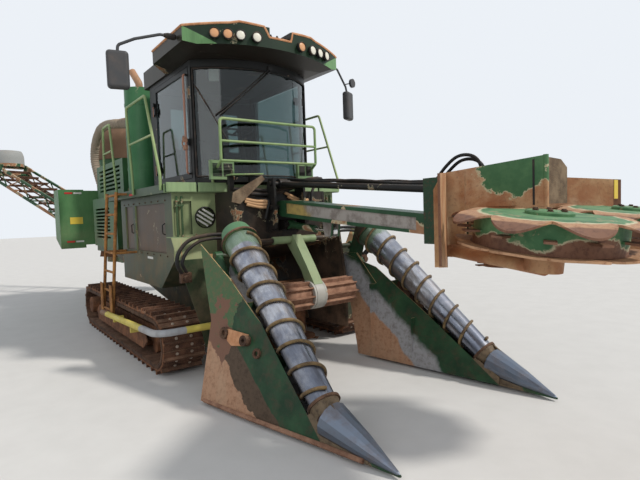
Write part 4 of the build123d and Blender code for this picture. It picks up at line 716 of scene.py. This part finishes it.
def roof_fittings():
    edge = [a + (b - a) * k for a, b in zip(ROOF_EDGE, ROOF_EDGE[1:])
            for k in np.linspace(0, 1, max(2, int(abs(b[0] - a[0]) / 0.05)), endpoint=False)]
    rim = [tube([bow_point(y, z)[0] - 0.006 * X for y, z in [*edge, ROOF_EDGE[-1]]], 0.016, 8)]
    rim += [tube(on_side([(2.30, 1.10, 3.905), (1.8, 1.10, 3.903), (1.30, 1.10, 3.90)], side), 0.014, 8)
            for _, side in SIDES]
    piece("roof_rim", rim, RIM_RUST)
    bezels, lenses, amber = [], [], []
    for y in LAMP_ROW:
        centre, out = bow_point(y, LAMP_Z)
        centre += out * 0.040
        bezels.append(turned([(-0.012, 0.060), (0.010, 0.062), (0.014, 0.056), (0.004, 0.050)], centre, out, 28))
        face = turned([(0.002, 0.052), (0.008, 0.040), (0.011, 0.022), (0.012, 0.0005)], centre, out, 28)
        (amber if y in AMBER_LAMPS else lenses).append(face)
    piece("lamp_bezels", bezels, BLACK_PLASTIC)
    piece("lamp_faces", lenses, LAMP_PALE)
    piece("lamp_faces_amber", amber, LAMP_AMBER)
    knobs = [turned([(0, 0.022), (0.05, 0.020), (0.075, 0.010), (0.08, 0.001)], (2.50, y, 3.86), Z, 12)
             for y in (-0.10, -0.06, 0.03, 0.11, 0.14)]
    piece("roof_aerials", knobs, BLACK_PLASTIC)


# Cab

SCREEN_R, SCREEN_CENTRE = 1.2, 1.023                       # the windscreen's radius and the X of its centre
SCREEN_HALF, SCREEN_LOW, SCREEN_HIGH = 0.83, 2.262, 3.575
LOUVERS = (("right", -0.78, -0.47, 2.21), ("left", 0.47, 0.72, 2.24))      # name, both Y and the lower edge
LOUVER_TOP, SLATS = 2.44, 9


def screen_line(places, out):
    """Points on the bowed windscreen, out metres in front of it."""
    return [(SCREEN_CENTRE + math.sqrt((SCREEN_R + out) ** 2 - y * y), y, z) for y, z in places]


def cushion(centre, half, lean=0, crown=0):
    """A padded form: a rounded box with pulled-in sides, crowned on top and sewn in channels across.

    Along each axis a point lies at half * sign(w) * |w| ** m, with w the sine or cosine of its two
    angles; the top swells by crown and a channel of 5 mm runs across every 90 mm.
    """
    u = np.linspace(-np.pi / 2, np.pi / 2, 25)[1:-1, None]
    v = np.linspace(-np.pi, np.pi, 48, endpoint=False)[None]

    def power(w, m):
        return np.sign(w) * np.abs(w) ** m

    x = power(np.cos(u), 0.40) * power(np.cos(v), 0.32)
    y = power(np.cos(u), 0.40) * power(np.sin(v), 0.32)
    z = power(np.sin(u), 0.55) * (1 + crown * np.maximum(0, (1 - x ** 2) * (1 - y ** 2)))
    p = np.stack([x, y, z], -1) * half
    groove = 0.005 * np.exp(-(((p[..., 1:2] / 0.09 + 0.5) % 1 - 0.5) / 0.09) ** 2)
    back = np.array(Matrix.Rotation(math.radians(-lean), 3, "Y"))
    return skin((p - groove * unit(p + 1e-9)) @ back.T + centre)


def cab_fittings():
    wiper = [tube(screen_line([(0.048 - 0.34 * k + shift, 3.60 - 0.30 * k) for k in np.linspace(0, 2, 12)], 0.022),
                  0.007, 8) for shift in (0.0, 0.045)]
    wiper.append(turned([(-0.01, 0.035), (0.035, 0.032), (0.04, 0.001)], screen_line([(0.07, 3.62)], 0.0)[0],
                        (1, 0.03, 0), 16))
    blade = [(-0.655 + 0.10 * k, 3.02 - 0.22 * k) for k in np.linspace(-1.6, 1.6, 14)]
    piece("wiper", wiper + [tube(screen_line(blade, 0.010), 0.009, 8)], BLACK_PLASTIC)
    tag = screen_line(((-0.66, 3.596), (-0.56, 3.596), (-0.56, 3.42), (-0.66, 3.42)), -0.012)
    piece("screen_tag", [slab(tag, -X, 0.003)], PALE_STRIP, flat=True)
    mirror = [box((1.92, 0.62, 3.28), (1.94, 0.78, 3.38)),
              tube([(1.90, 0.76, 3.45), (1.92, 0.73, 3.40), (1.93, 0.70, 3.36)], 0.006, 8)]
    piece("inner_mirror", mirror, BLACK_PLASTIC, flat=True)
    seals = [tube(screen_line([(y, z) for z in np.linspace(2.27, 3.57, 8)], 0.006), 0.010, 8)
             for y in (-SCREEN_HALF, SCREEN_HALF)]
    seals += [tube(screen_line([(y, z) for y in np.linspace(-SCREEN_HALF, SCREEN_HALF, 30)], 0.006), 0.011, 8)
              for z in (SCREEN_LOW, SCREEN_HIGH)]
    piece("screen_seal", seals, RUBBER)
    boot = smooth_path([(2.15, y, 3.815) for y in (-1.112, -1.16, -1.20, -1.25)])
    swell = np.interp(np.linspace(0, 1, len(boot)), (0, 0.15, 0.7, 1), (0.026, 0.036, 0.033, 0.020))
    piece("mirror_boot", [tube(boot, swell, 16, 0.002, 0.016)], RUBBER)
    pedestal = [box((0.66, -0.17, 2.247), (1.04, 0.17, 2.56)), box((0.61, -0.24, 2.55), (1.11, 0.24, 2.590)),
                *blocks(((0.61, 0.19, 2.815), (0.67, 0.30, 2.85)))]
    piece("seat_pedestal", pedestal, BLACK_PLASTIC, flat=True)
    pads = [cushion((0.80, side * 0.281, 2.845), (0.19, 0.036, 0.028)) for _, side in SIDES]
    pads.append(cushion((0.86, 0, 2.636), (0.26, 0.26, 0.058), crown=0.16))
    pads.append(cushion((0.60, 0, 3.026), (0.06, 0.25, 0.37), lean=12))
    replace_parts(piece("seat_padding", pads, FABRIC), "seat")
    latch = [box((1.74, -0.925, 2.60), (1.80, -0.885, 2.66)), box((1.735, -0.93, 2.70), (1.79, -0.885, 2.76)),
             tube([(1.76, -0.915, 2.60), (1.74, -0.935, 2.68), (1.76, -0.92, 2.78)], 0.009, 8)]
    piece("door_latch", latch, ROLLER_RUST, "cab_door", flat=True)
    for name, y0, y1, low in LOUVERS:
        middle, pitch = (y0 + y1) / 2, (LOUVER_TOP - low - 0.07) / SLATS
        slats = [slab([(2.201, a, z), (2.201, b, z), (2.208, b, z + 0.012), (2.208, a, z + 0.012)], (-0.4, 0, 1), 0.004)
                 for a, b in ((y0 + 0.025, middle - 0.012), (middle + 0.012, y1 - 0.025))
                 for z in low + 0.035 + pitch * np.arange(SLATS)]
        piece("louver_case_" + name, [box((2.15, y0, low), (2.20, y1, LOUVER_TOP))], LIGHT_GREEN, flat=True)
        piece("louver_slats_" + name, slats, CHASSIS_GREEN, flat=True)


# Front below the cab

VENT = np.array([1.985, 0.79, 1.76])
VENT_LEAN = math.radians(-32)
# Radius, material and course of each hose
HOSES = {
    "hose_upper": (0.021, RUBBER, [(2.42, -0.62, 2.03), (2.52, -0.44, 2.02), (2.56, -0.22, 2.01), (2.56, 0.02, 2.05),
                                   (2.55, 0.30, 2.15), (2.53, 0.48, 2.21), (2.46, 0.66, 2.22)]),
    "hose_middle": (0.021, RUBBER, [(2.42, -0.60, 2.08), (2.50, -0.40, 2.07), (2.54, -0.14, 2.06),
                                    (2.54, 0.12, 2.11), (2.52, 0.40, 2.20), (2.44, 0.62, 2.23)]),
    "hose_lower": (0.018, RUBBER, [(2.42, -0.55, 1.98), (2.53, -0.32, 1.96), (2.60, -0.24, 1.93),
                                   (2.63, -0.27, 1.84), (2.62, -0.30, 1.72)]),
    "hose_left": (0.018, RUBBER, [(2.42, 0.58, 2.20), (2.53, 0.50, 2.14), (2.57, 0.42, 2.02), (2.57, 0.40, 1.88),
                                  (2.56, 0.42, 1.72)]),
}
for k, (y, z) in enumerate(((-0.545, 1.965), (-0.52, 1.93), (-0.50, 1.895))):
    HOSES[f"sleeve_{k + 1}"] = (0.019, TAN_SLEEVE, [(2.52 + 0.01 * k, y, z), (2.57, y + 0.16, z - 0.035),
                                                    (2.59, y + 0.30, z - 0.04), (2.58, y + 0.37, z - 0.09)])
for k, (y, z) in enumerate(((0.02, 2.03), (0.06, 1.985))):
    HOSES[f"sleeve_{k + 4}"] = (0.019, TAN_SLEEVE, [(2.56, y, z), (2.585, y + 0.12, z - 0.06),
                                                    (2.58, y + 0.24, z - 0.10), (2.56, y + 0.34, z - 0.09)])


def front_fittings():
    gusset = at_x(2.56, ((-0.30, 2.235), (-0.262, 2.19), (-0.60, 1.90), (-0.705, 1.925), (-0.685, 2.03)))
    piece("front_gusset", [slab(gusset, X, 0.012)], GUSSET_BROWN, flat=True)
    shelf = [(2.36, -0.665, 2.238), (2.36, -0.245, 2.252), (2.52, -0.245, 2.252), (2.52, -0.665, 2.238)]
    piece("front_shelf", [slab(shelf, Z, 0.014)], PALE_GREEN, flat=True)
    legs = [box((2.30, -0.62, 2.05), (2.36, -0.56, 2.24)), box((2.30, -0.34, 2.05), (2.36, -0.28, 2.25))]
    piece("shelf_leg", legs, CHASSIS_GREEN, flat=True)
    for name, (radius, material, points) in HOSES.items():
        piece(name, [tube(smooth_path(points), radius)], material)
    for name, side in SIDES:
        centre = on_side(VENT, side)
        ring = turned([(-0.02, 0.132), (0.024, 0.132), (0.028, 0.120), (0.0, 0.118)], centre, X, 36)
        along, up = Y * math.cos(VENT_LEAN) + Z * math.sin(VENT_LEAN), Z * math.cos(VENT_LEAN) - Y * math.sin(VENT_LEAN)
        slats = []
        for off in -0.072 + 0.048 * np.arange(4):
            half = math.sqrt(0.112 ** 2 - off * off)
            slats.append(slab([centre + (0.007 + 0.10 * b) * X + a * along + (off + b) * up
                               for a, b in ((-half, -0.011), (half, -0.011), (half, 0.011), (-half, 0.011))], X, 0.006))
        piece("vent_ring_" + name, [ring], BLACK_PAINT)
        piece("vent_slats_" + name, slats, PALE_STRIP, flat=True)


# Sides and rear

CABINET_Y = 1.2
REAR = (-3.478, -3.475)      # X of the reflectors and plates on the rear boxes


def side_fittings():
    bolts, handles, rods = [], [], []
    for _, side in SIDES:
        for first, last, count in ((-0.01, 0.45, 3), (0.49, 1.78, 6)):
            places = [(x, CABINET_Y, z) for x in np.linspace(first, last, count) for z in (1.30, 1.98)]
            bolts += bolt_heads(on_side(places, side), side * Y, 0.009, 0.008)
        for x in (0.39, 1.70):
            grip = [(x, 1.188, 1.56), (x, 1.22, 1.58), (x, 1.22, 1.68), (x, 1.188, 1.70)]
            handles.append(tube(on_side(grip, side), 0.008, 8))
        rods += [tube(on_side([(2.012, y, 1.30), (2.012, y, 2.02)], side), 0.013, 10) for y in (1.085, 1.145)]
    rods += blocks(*(((1.99, 1.165, z), (2.03, 1.065, z + 0.02)) for z in (1.45, 1.90)))
    piece("latch_rods", rods, ENGINE_GREEN, flat=True)
    piece("cabinet_bolts", bolts, DARK_RUST, flat=True)
    piece("cabinet_handles", handles, BLACK_PLASTIC)
    piece("cabinet_strips", blocks(((1.0, CABINET_Y, 1.235), (1.22, 1.203, 1.265))), PALE_STRIP, flat=True)
    x0, x1 = REAR
    red = [((x0, 1.45, z), (x1, 1.30, z + 0.035)) for z in (2.33, 1.33)]
    pale = [((x0, 1.28, z), (x1, 1.13, z + 0.035)) for z in (2.33, 1.33)]
    piece("rear_panels", blocks(((-3.50, 1.13, 1.27), (-3.473, 0.68, 2.40))), TANK_GREEN, flat=True)
    piece("red_reflectors", blocks(((0.64, 1.296, 2.085), (0.82, 1.303, 2.112)), *red), RED_STRIP, flat=True)
    piece("pale_reflectors", blocks(*pale), PALE_STRIP, flat=True)
    piece("blank_plates", blocks(((x0, 1.37, 1.71), (x1, 1.12, 1.85))), YELLOW, flat=True)
    bands = [band((*EXHAUST, z), Z, -0.02, 0.02, 0.2325, 0.238, 40) for z in (2.55, 3.05, 3.55)]
    piece("exhaust_bands", bands, EXHAUST_GREEN)
    duct = smooth_path([(-0.96, -0.72, 3.38), (-1.25, -0.95, 3.42), (-1.75, -1.00, 3.46), (-2.20, -1.00, 3.42),
                        (-2.55, -1.00, 3.24), (-2.70, -1.00, 2.98), (-2.62, -0.98, 2.70), (-2.50, -0.95, 2.45),
                        (-2.42, -0.93, 2.30)], 16)
    piece("air_duct", [tube(duct, 0.075, 20, 0.006, 0.05)], DUCT_GREY)


# Dividers

PLATE_SLOPE = (0.2207, 0.2592)                  # how fast a divider's outer plate comes in along X and Z
POINT_START, POINT_TIP = 0.150, (5.425, 1.003, 0.035)      # the cone's start beyond the scroll, and its tip
EYES = ((3.475, 0.672, 0.055, 0.026, 0.045), (3.786, 0.645, 0.048, 0.020, 0.075),
        (3.936, 0.560, 0.044, 0.022, 0.034))    # X, Z, radius, hole and height
FLIGHT_TURNS, FLIGHT_END = 8, 0.05              # turns, and how far the flight stops from the tube's ends


def on_plate(places, side):
    """Points of a divider's outer plate at (x, z): the plane through its heel, tip and top."""
    return on_side([(x, 1.47 - PLATE_SLOPE[0] * (x - 3.30) - PLATE_SLOPE[1] * (z - 0.03), z) for x, z in places], side)


def divider_fittings(name, side):
    body = "divider_" + name
    top, end, run, _ = scroll_line(side)
    start, tip = end + run * POINT_START, on_side(POINT_TIP, side)
    length = float(np.linalg.norm(tip - start))
    cone = turned([(-0.03, 0.106), (0.0, 0.147), (length * 0.5, 0.088), (length * 0.97, 0.014), (length, 0.002)],
                  start, tip - start, 14)
    piece("point_" + name, [cone], STEEL, body, flat=True)
    collars = [band(end + run * t, run, -0.012, 0.012, r, r + 0.012, 28) for t, r in ((0.012, 0.128), (0.118, 0.094))]
    collars.append(band(top - run * 0.012, run, -0.012, 0.010, 0.188, 0.197, 36))
    piece("scroll_collars_" + name, collars, DARK_RUST, body)
    out = unit((PLATE_SLOPE[0], side, PLATE_SLOPE[1]))
    eyes = [band(on_plate([(x, z)], side)[0], out, -0.006, high, hole, r, 24) for x, z, r, hole, high in EYES]
    link = on_plate(((3.51, 0.715), (3.79, 0.700), (3.79, 0.600), (3.60, 0.575), (3.53, 0.610)), side) - out * 0.004
    piece("divider_bracket_" + name, [slab(link, out, 0.034)], RIM_RUST, body, flat=True)
    piece("divider_eyes_" + name, eyes, DARK_RUST, body)
    edge = on_side([(3.345, 1.465, 0.045), (4.0, 1.335, 0.045), (4.7, 1.175, 0.045), (5.15, 1.08, 0.045)], side)
    piece("shoe_strip_" + name, [tube(edge, 0.020, 8)], ROLLER_RUST, body)
    plate = at_x(2.497, ((1.405, 1.550), (1.113, 1.534), (1.02, 1.35), (0.66, 1.33), (0.66, 0.80), (0.90, 0.45),
                         (1.02, 0.30), (1.07, 0.30), (1.13, 0.60), (1.341, 1.287)))
    piece("hinge_plate_" + name, [slab(on_side(plate, side), X, 0.014)], WEDGE_GREEN, flat=True)
    ledge = [(2.36, 1.405, 1.550), (2.511, 1.405, 1.550), (2.511, 1.113, 1.534), (2.36, 1.113, 1.534)]
    piece("hinge_ledge_" + name, [slab(on_side(ledge, side), Z, 0.008)], LIGHT_GREEN, flat=True)
    port = [box(*on_side(((2.511, 1.34, 1.06), (2.57, 1.22, 1.17)), side)),
            turned([(0, 0.034), (0.05, 0.034), (0.05, 0.001)], on_side((2.57, 1.28, 1.11), side), X, 12)]
    piece("hose_block_" + name, port, DARK_RUST, flat=True)
    for k, (dy, dz, radius) in enumerate(((0.0, 0.0, 0.021), (-0.055, -0.045, 0.018))):
        route = [(2.54, 1.31 + dy, 1.15), (2.59, 1.375 + dy, 1.24), (2.60, 1.385 + dy, 1.34 + dz),
                 (2.60, 1.33 + dy, 1.445 + dz), (2.60, 1.225 + dy, 1.525 + dz), (2.60, 1.06, 1.560 + dz),
                 (2.59, 0.86, 1.565 + dz), (2.56, 0.70, 1.53 + dz), (2.50, 0.655, 1.50 + dz)]
        piece(f"ram_hose_{k + 1}_{name}", [tube(smooth_path(on_side(route, side)), radius)], RUBBER)


def flight_edge(name, side):
    """A round bar along the scroll's flight.

    The helix is angle = phase + hand * 2 pi * turns * t at radius tube + 16 mm; its phase and hand are
    those at which the flight's own corners agree best.
    """
    top, _, run, length = scroll_line(side)
    flight = length - 2 * FLIGHT_END
    across = unit(np.cross(run, Y))
    up = np.cross(run, across)
    mesh = nodes["scroll_" + name].data
    flat = np.empty(len(mesh.vertices) * 3)
    mesh.vertices.foreach_get("co", flat)
    away = flat.reshape(-1, 3) - HOME - top
    along, x, y = away @ run, away @ across, away @ up
    clear = np.hypot(x, y) - np.interp(along, (0, length), SCROLL_RADII)
    on_flight = (clear > 0.02) & (along > FLIGHT_END - 0.01) & (along < length - FLIGHT_END + 0.01)
    angle, t = np.arctan2(y, x)[on_flight], (along[on_flight] - FLIGHT_END) / flight
    agree = {hand: np.exp(1j * (angle - hand * 2 * np.pi * FLIGHT_TURNS * t)).mean() for hand in (-1, 1)}
    hand = max(agree, key=lambda h: abs(agree[h]))
    t = np.linspace(0, 1, FLIGHT_TURNS * 36 + 1)
    z = FLIGHT_END + flight * t
    turn = np.angle(agree[hand]) + hand * 2 * np.pi * FLIGHT_TURNS * t
    r = np.interp(z, (0, length), SCROLL_RADII) + 0.016
    path = top + z[:, None] * run + r[:, None] * circle(across, up, turn)
    piece("flight_edge_" + name, [tube(path, 0.0145, 10)], FLIGHT_BROWN, "scroll_" + name)


# Knockdown roller

ROLLER = np.array([3.12, 0, 0.84])


def roller_boss():
    flange = ((-0.014, 0.06), (-0.014, 0.160), (-0.010, 0.164), (0.010, 0.164), (0.014, 0.160), (0.014, 0.06))
    rings = [turned(flange, ROLLER + y * Y, Y, 48) for y in (-0.072, 0.072)]
    rings.append(band(ROLLER, Y, -0.056, 0.056, 0.148, 0.166, 48))
    piece("roller_boss", rings, PALE_GREY, "knockdown_arm")


# Topper

WALL_RUN, WALL_NORMAL = unit((0.68, 0.2, 0)), np.array([0.282, -0.959, 0])      # of the head's middle wall
ROTOR_LOBES, BLADES = 9, 12
DISC_SHARES = (0.15, 0.6, 0.7, 0.8, 0.88, 0.95, 1.0)      # rings of the lobed disc, as shares of its rim
DISC_THICK, FLAT_SHARE = 0.012, 0.6
HUB_TOP, LOWER_DISC = 0.022, -0.180
DRUM_RADII, BLADE_TIP, BLADE_Z = (0.390, 0.400), 0.492, -0.106


def topper_fittings():
    head = "topper_head"
    arch = smooth_path([(5.02, -0.10, 2.00), (5.11, -0.10, 2.09), (5.22, -0.10, 2.16), (5.33, -0.10, 2.165),
                        (5.40, -0.08, 2.12), (5.42, -0.05, 2.02), (5.42, -0.03, 1.92)])
    for k in range(2):
        piece(f"arch_hose_{k + 1}", [tube(arch + (0, 0.045 * k, -0.03 * k), 0.013)], RUBBER, head)
    strip = at_x(5.905, ((0.985, 1.80), (1.05, 1.80), (1.05, 1.95), (0.985, 1.95)))
    piece("wing_strip", [slab(strip, X, 0.004)], YELLOW, head, flat=True)
    for k, y in enumerate((-0.03, 0.0, 0.03)):
        line = [(2.72 + 2.2 * t, y + 0.012 * math.sin(9 * t + k), 2.175 - 0.190 * t + 0.010 * math.cos(11 * t + 2 * k))
                for t in np.linspace(0, 1, 40)]
        piece(f"arm_hose_{k + 1}", [tube(line, 0.013, 10)], RUBBER, "topper_upper_arm")
    ribs = []
    for _, side in SIDES:
        for share in (0.30, 0.72):
            x, y, low, high = 5.2 + 0.7 * share, 0.2 + 0.93 * share, 1.31 + 0.14 * share, 2.04 - 0.085 * share
            rib = [(x, y, low), (x - 0.03, y + 0.045, low), (x - 0.03, y + 0.045, high - 0.1), (x, y, high)]
            ribs.append(slab(on_side(rib, side), (0.6, side * 0.8, 0), 0.010))
    piece("wing_ribs", ribs, TOPPER_BROWN, head, flat=True)
    gusset = at_x(5.872, ((0.0, 1.775), (0.285, 1.775), (0.285, 2.03), (0.20, 2.085), (0.0, 2.095)))
    piece("peak_gusset", [slab(gusset, X, 0.010)], GUSSET_BROWN, head, flat=True)
    seam = [(5.80, -0.0235, z) + WALL_RUN * w + WALL_NORMAL * 0.012
            for w, z in ((0, 1.77), (0.014, 1.77), (0.014, 2.085), (0, 2.08))]
    piece("wall_seam", [slab(seam, WALL_NORMAL, 0.003)], BLACK_PLASTIC, head, flat=True)


def lobed_disc(hub, reach, depth, top, droop):
    """A disc with scalloped lobes that hang down towards their tips.

    Its rim is reach - depth * (1 - lobe) with lobe = |cos(lobes * angle / 2)| ** 0.8, and a point at
    share k of the way from the flat part to the rim drops by droop * lobe ** 2 * k ** 2.
    """
    angle = angles(ROTOR_LOBES * 22)
    lobe = np.abs(np.cos(ROTOR_LOBES * angle / 2)) ** 0.8
    rim = reach - depth * (1 - lobe)
    rows = []
    for share, high in [(k, top) for k in DISC_SHARES] + [(k, top - DISC_THICK) for k in DISC_SHARES[::-1]]:
        drop = droop * lobe ** 2 * (max(share - FLAT_SHARE, 0) / (1 - FLAT_SHARE)) ** 2
        r = rim * share if share > FLAT_SHARE else np.full_like(rim, share * reach)
        rows.append(hub + (high - drop)[:, None] * ROTOR_AXIS + r[:, None] * circle(*ROTOR_PLANE, angle))
    return skin(np.array(rows))


def rotor_fittings(name, side):
    """The rotor with its gathering disc, drum, blades and lower disc, in the place of the plain one."""
    hub, node = on_side(ROTOR_HUB, side), "topper_rotor_" + name
    parts = [lobed_disc(hub, 0.550, 0.115, 0.0, 0.055), lobed_disc(hub, 0.512, 0.075, LOWER_DISC, -0.012),
             turned([(HUB_TOP, 0.001), (HUB_TOP, 0.122), (0.014, 0.130), (-0.001, 0.130)], hub, ROTOR_AXIS, 48),
             band(hub, ROTOR_AXIS, -DISC_THICK, LOWER_DISC + 0.002, *DRUM_RADII, 64)]
    near, far = DRUM_RADII[0], BLADE_TIP
    for out in circle(*ROTOR_PLANE, angles(BLADES)):
        beside = np.cross(ROTOR_AXIS, out)
        blade = [hub + reach * out + half * beside + BLADE_Z * ROTOR_AXIS
                 for reach, half in ((near, -0.03), (far, -0.03), (far, 0.03), (near, 0.03))]
        parts.append(slab(blade, ROTOR_AXIS, 0.012))
    whole = piece("gathering_rotor_" + name, parts, ROTOR_PAINT[name], node)
    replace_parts(whole, "topper_rotor_" + name)
    places = hub + ROTOR_AXIS * HUB_TOP + 0.085 * circle(*ROTOR_PLANE, angles(6))
    piece("hub_bolts_" + name, bolt_heads(places, ROTOR_AXIS, 0.013, 0.012), DARK_RUST, node, flat=True)


for name, side in SIDES:
    track_fittings(name, side)
roof_fittings()
cab_fittings()
front_fittings()
side_fittings()
for name, side in SIDES:
    divider_fittings(name, side)
    flight_edge(name, side)
roller_boss()
for name, side in SIDES:
    rotor_fittings(name, side)
topper_fittings()


# Light, floor and camera

# The photo's camera, solved from the machine's own lines
CAMERA_PLACE = (7.616, -3.219, 1.760)
CAMERA_YAW, CAMERA_PITCH, CAMERA_ROLL = math.radians(36.596), math.radians(-3.128), math.radians(-1.908)
CAMERA_LENS = 27.29      # on a 36 mm sensor
FLOOR_HALF = 60.0


def lamp(name, kind, at, target, energy, color=(1, 1, 1), **size):
    light = bpy.data.lights.new(name, kind)
    for key, value in {"energy": energy, "color": color, **size}.items():
        setattr(light, key, value)
    obj = add_object(name, light)
    obj.location = Vector(at)
    obj.rotation_euler = (Vector(target) - Vector(at)).to_track_quat("-Z", "Y").to_euler()


def studio():
    """A pale floor and plain light from the front left, high, with a bright sky all round."""
    mesh = bpy.data.meshes.new("studio_floor")
    mesh.from_pydata([(x * FLOOR_HALF, y * FLOOR_HALF, 0) for x, y in ((-1, -1), (1, -1), (1, 1), (-1, 1))], [],
                     [(0, 1, 2, 3)])
    s = Shade("floor")
    mesh.materials.append(s.finish(s.mix(s.spots(0.2, 0.8, 3, 6, 0.6), (0.62, 0.61, 0.59), (0.66, 0.65, 0.63)), 0.85))
    floor = add_object("studio_floor", mesh)
    s = Shade("studio", "worlds")
    sky = s.feed(s.tree.nodes["Background"], {"Color": (0.86, 0.90, 0.96), "Strength": 0.62})
    backdrop = s.node("Background", {"Color": (0.84, 0.88, 0.93), "Strength": 1.0})
    seen = s.node("LightPath", {}, "Is Camera Ray")
    for kind in ("Is Glossy Ray", "Is Transmission Ray"):
        seen = s.calc("MAXIMUM", seen, s.node("LightPath", {}, kind))
    s.feed(s.tree.nodes["World Output"], {"Surface": s.node("MixShader", {0: seen, 1: sky.outputs[0], 2: backdrop})})
    bpy.context.scene.world = s.owner
    lamp("sun", "SUN", (9, 7, 12), (0, 0, 1), 2.6, (1.0, 0.96, 0.90), angle=math.radians(6))
    lamp("fill", "AREA", (12, -9, 6), (1, 0, 1.5), 260, size=7)


def camera():
    forward = Vector((-math.cos(CAMERA_YAW) * math.cos(CAMERA_PITCH),
                      math.sin(CAMERA_YAW) * math.cos(CAMERA_PITCH), math.sin(CAMERA_PITCH)))
    right = forward.cross(Vector((0, 0, 1))).normalized()
    up = right.cross(forward)
    c, s = math.cos(CAMERA_ROLL), math.sin(CAMERA_ROLL)
    right, up = c * right + s * up, c * up - s * right
    data = bpy.data.cameras.new("camera")
    data.lens = CAMERA_LENS
    data.sensor_width = 36
    obj = add_object("camera", data)
    turn = Matrix((right, up, -forward)).transposed().to_4x4()
    obj.matrix_world = Matrix.Translation(Vector(np.array(CAMERA_PLACE) + HOME)) @ turn
    bpy.context.scene.camera = obj


studio()
camera()
bpy.context.scene.view_settings.view_transform = "Standard"
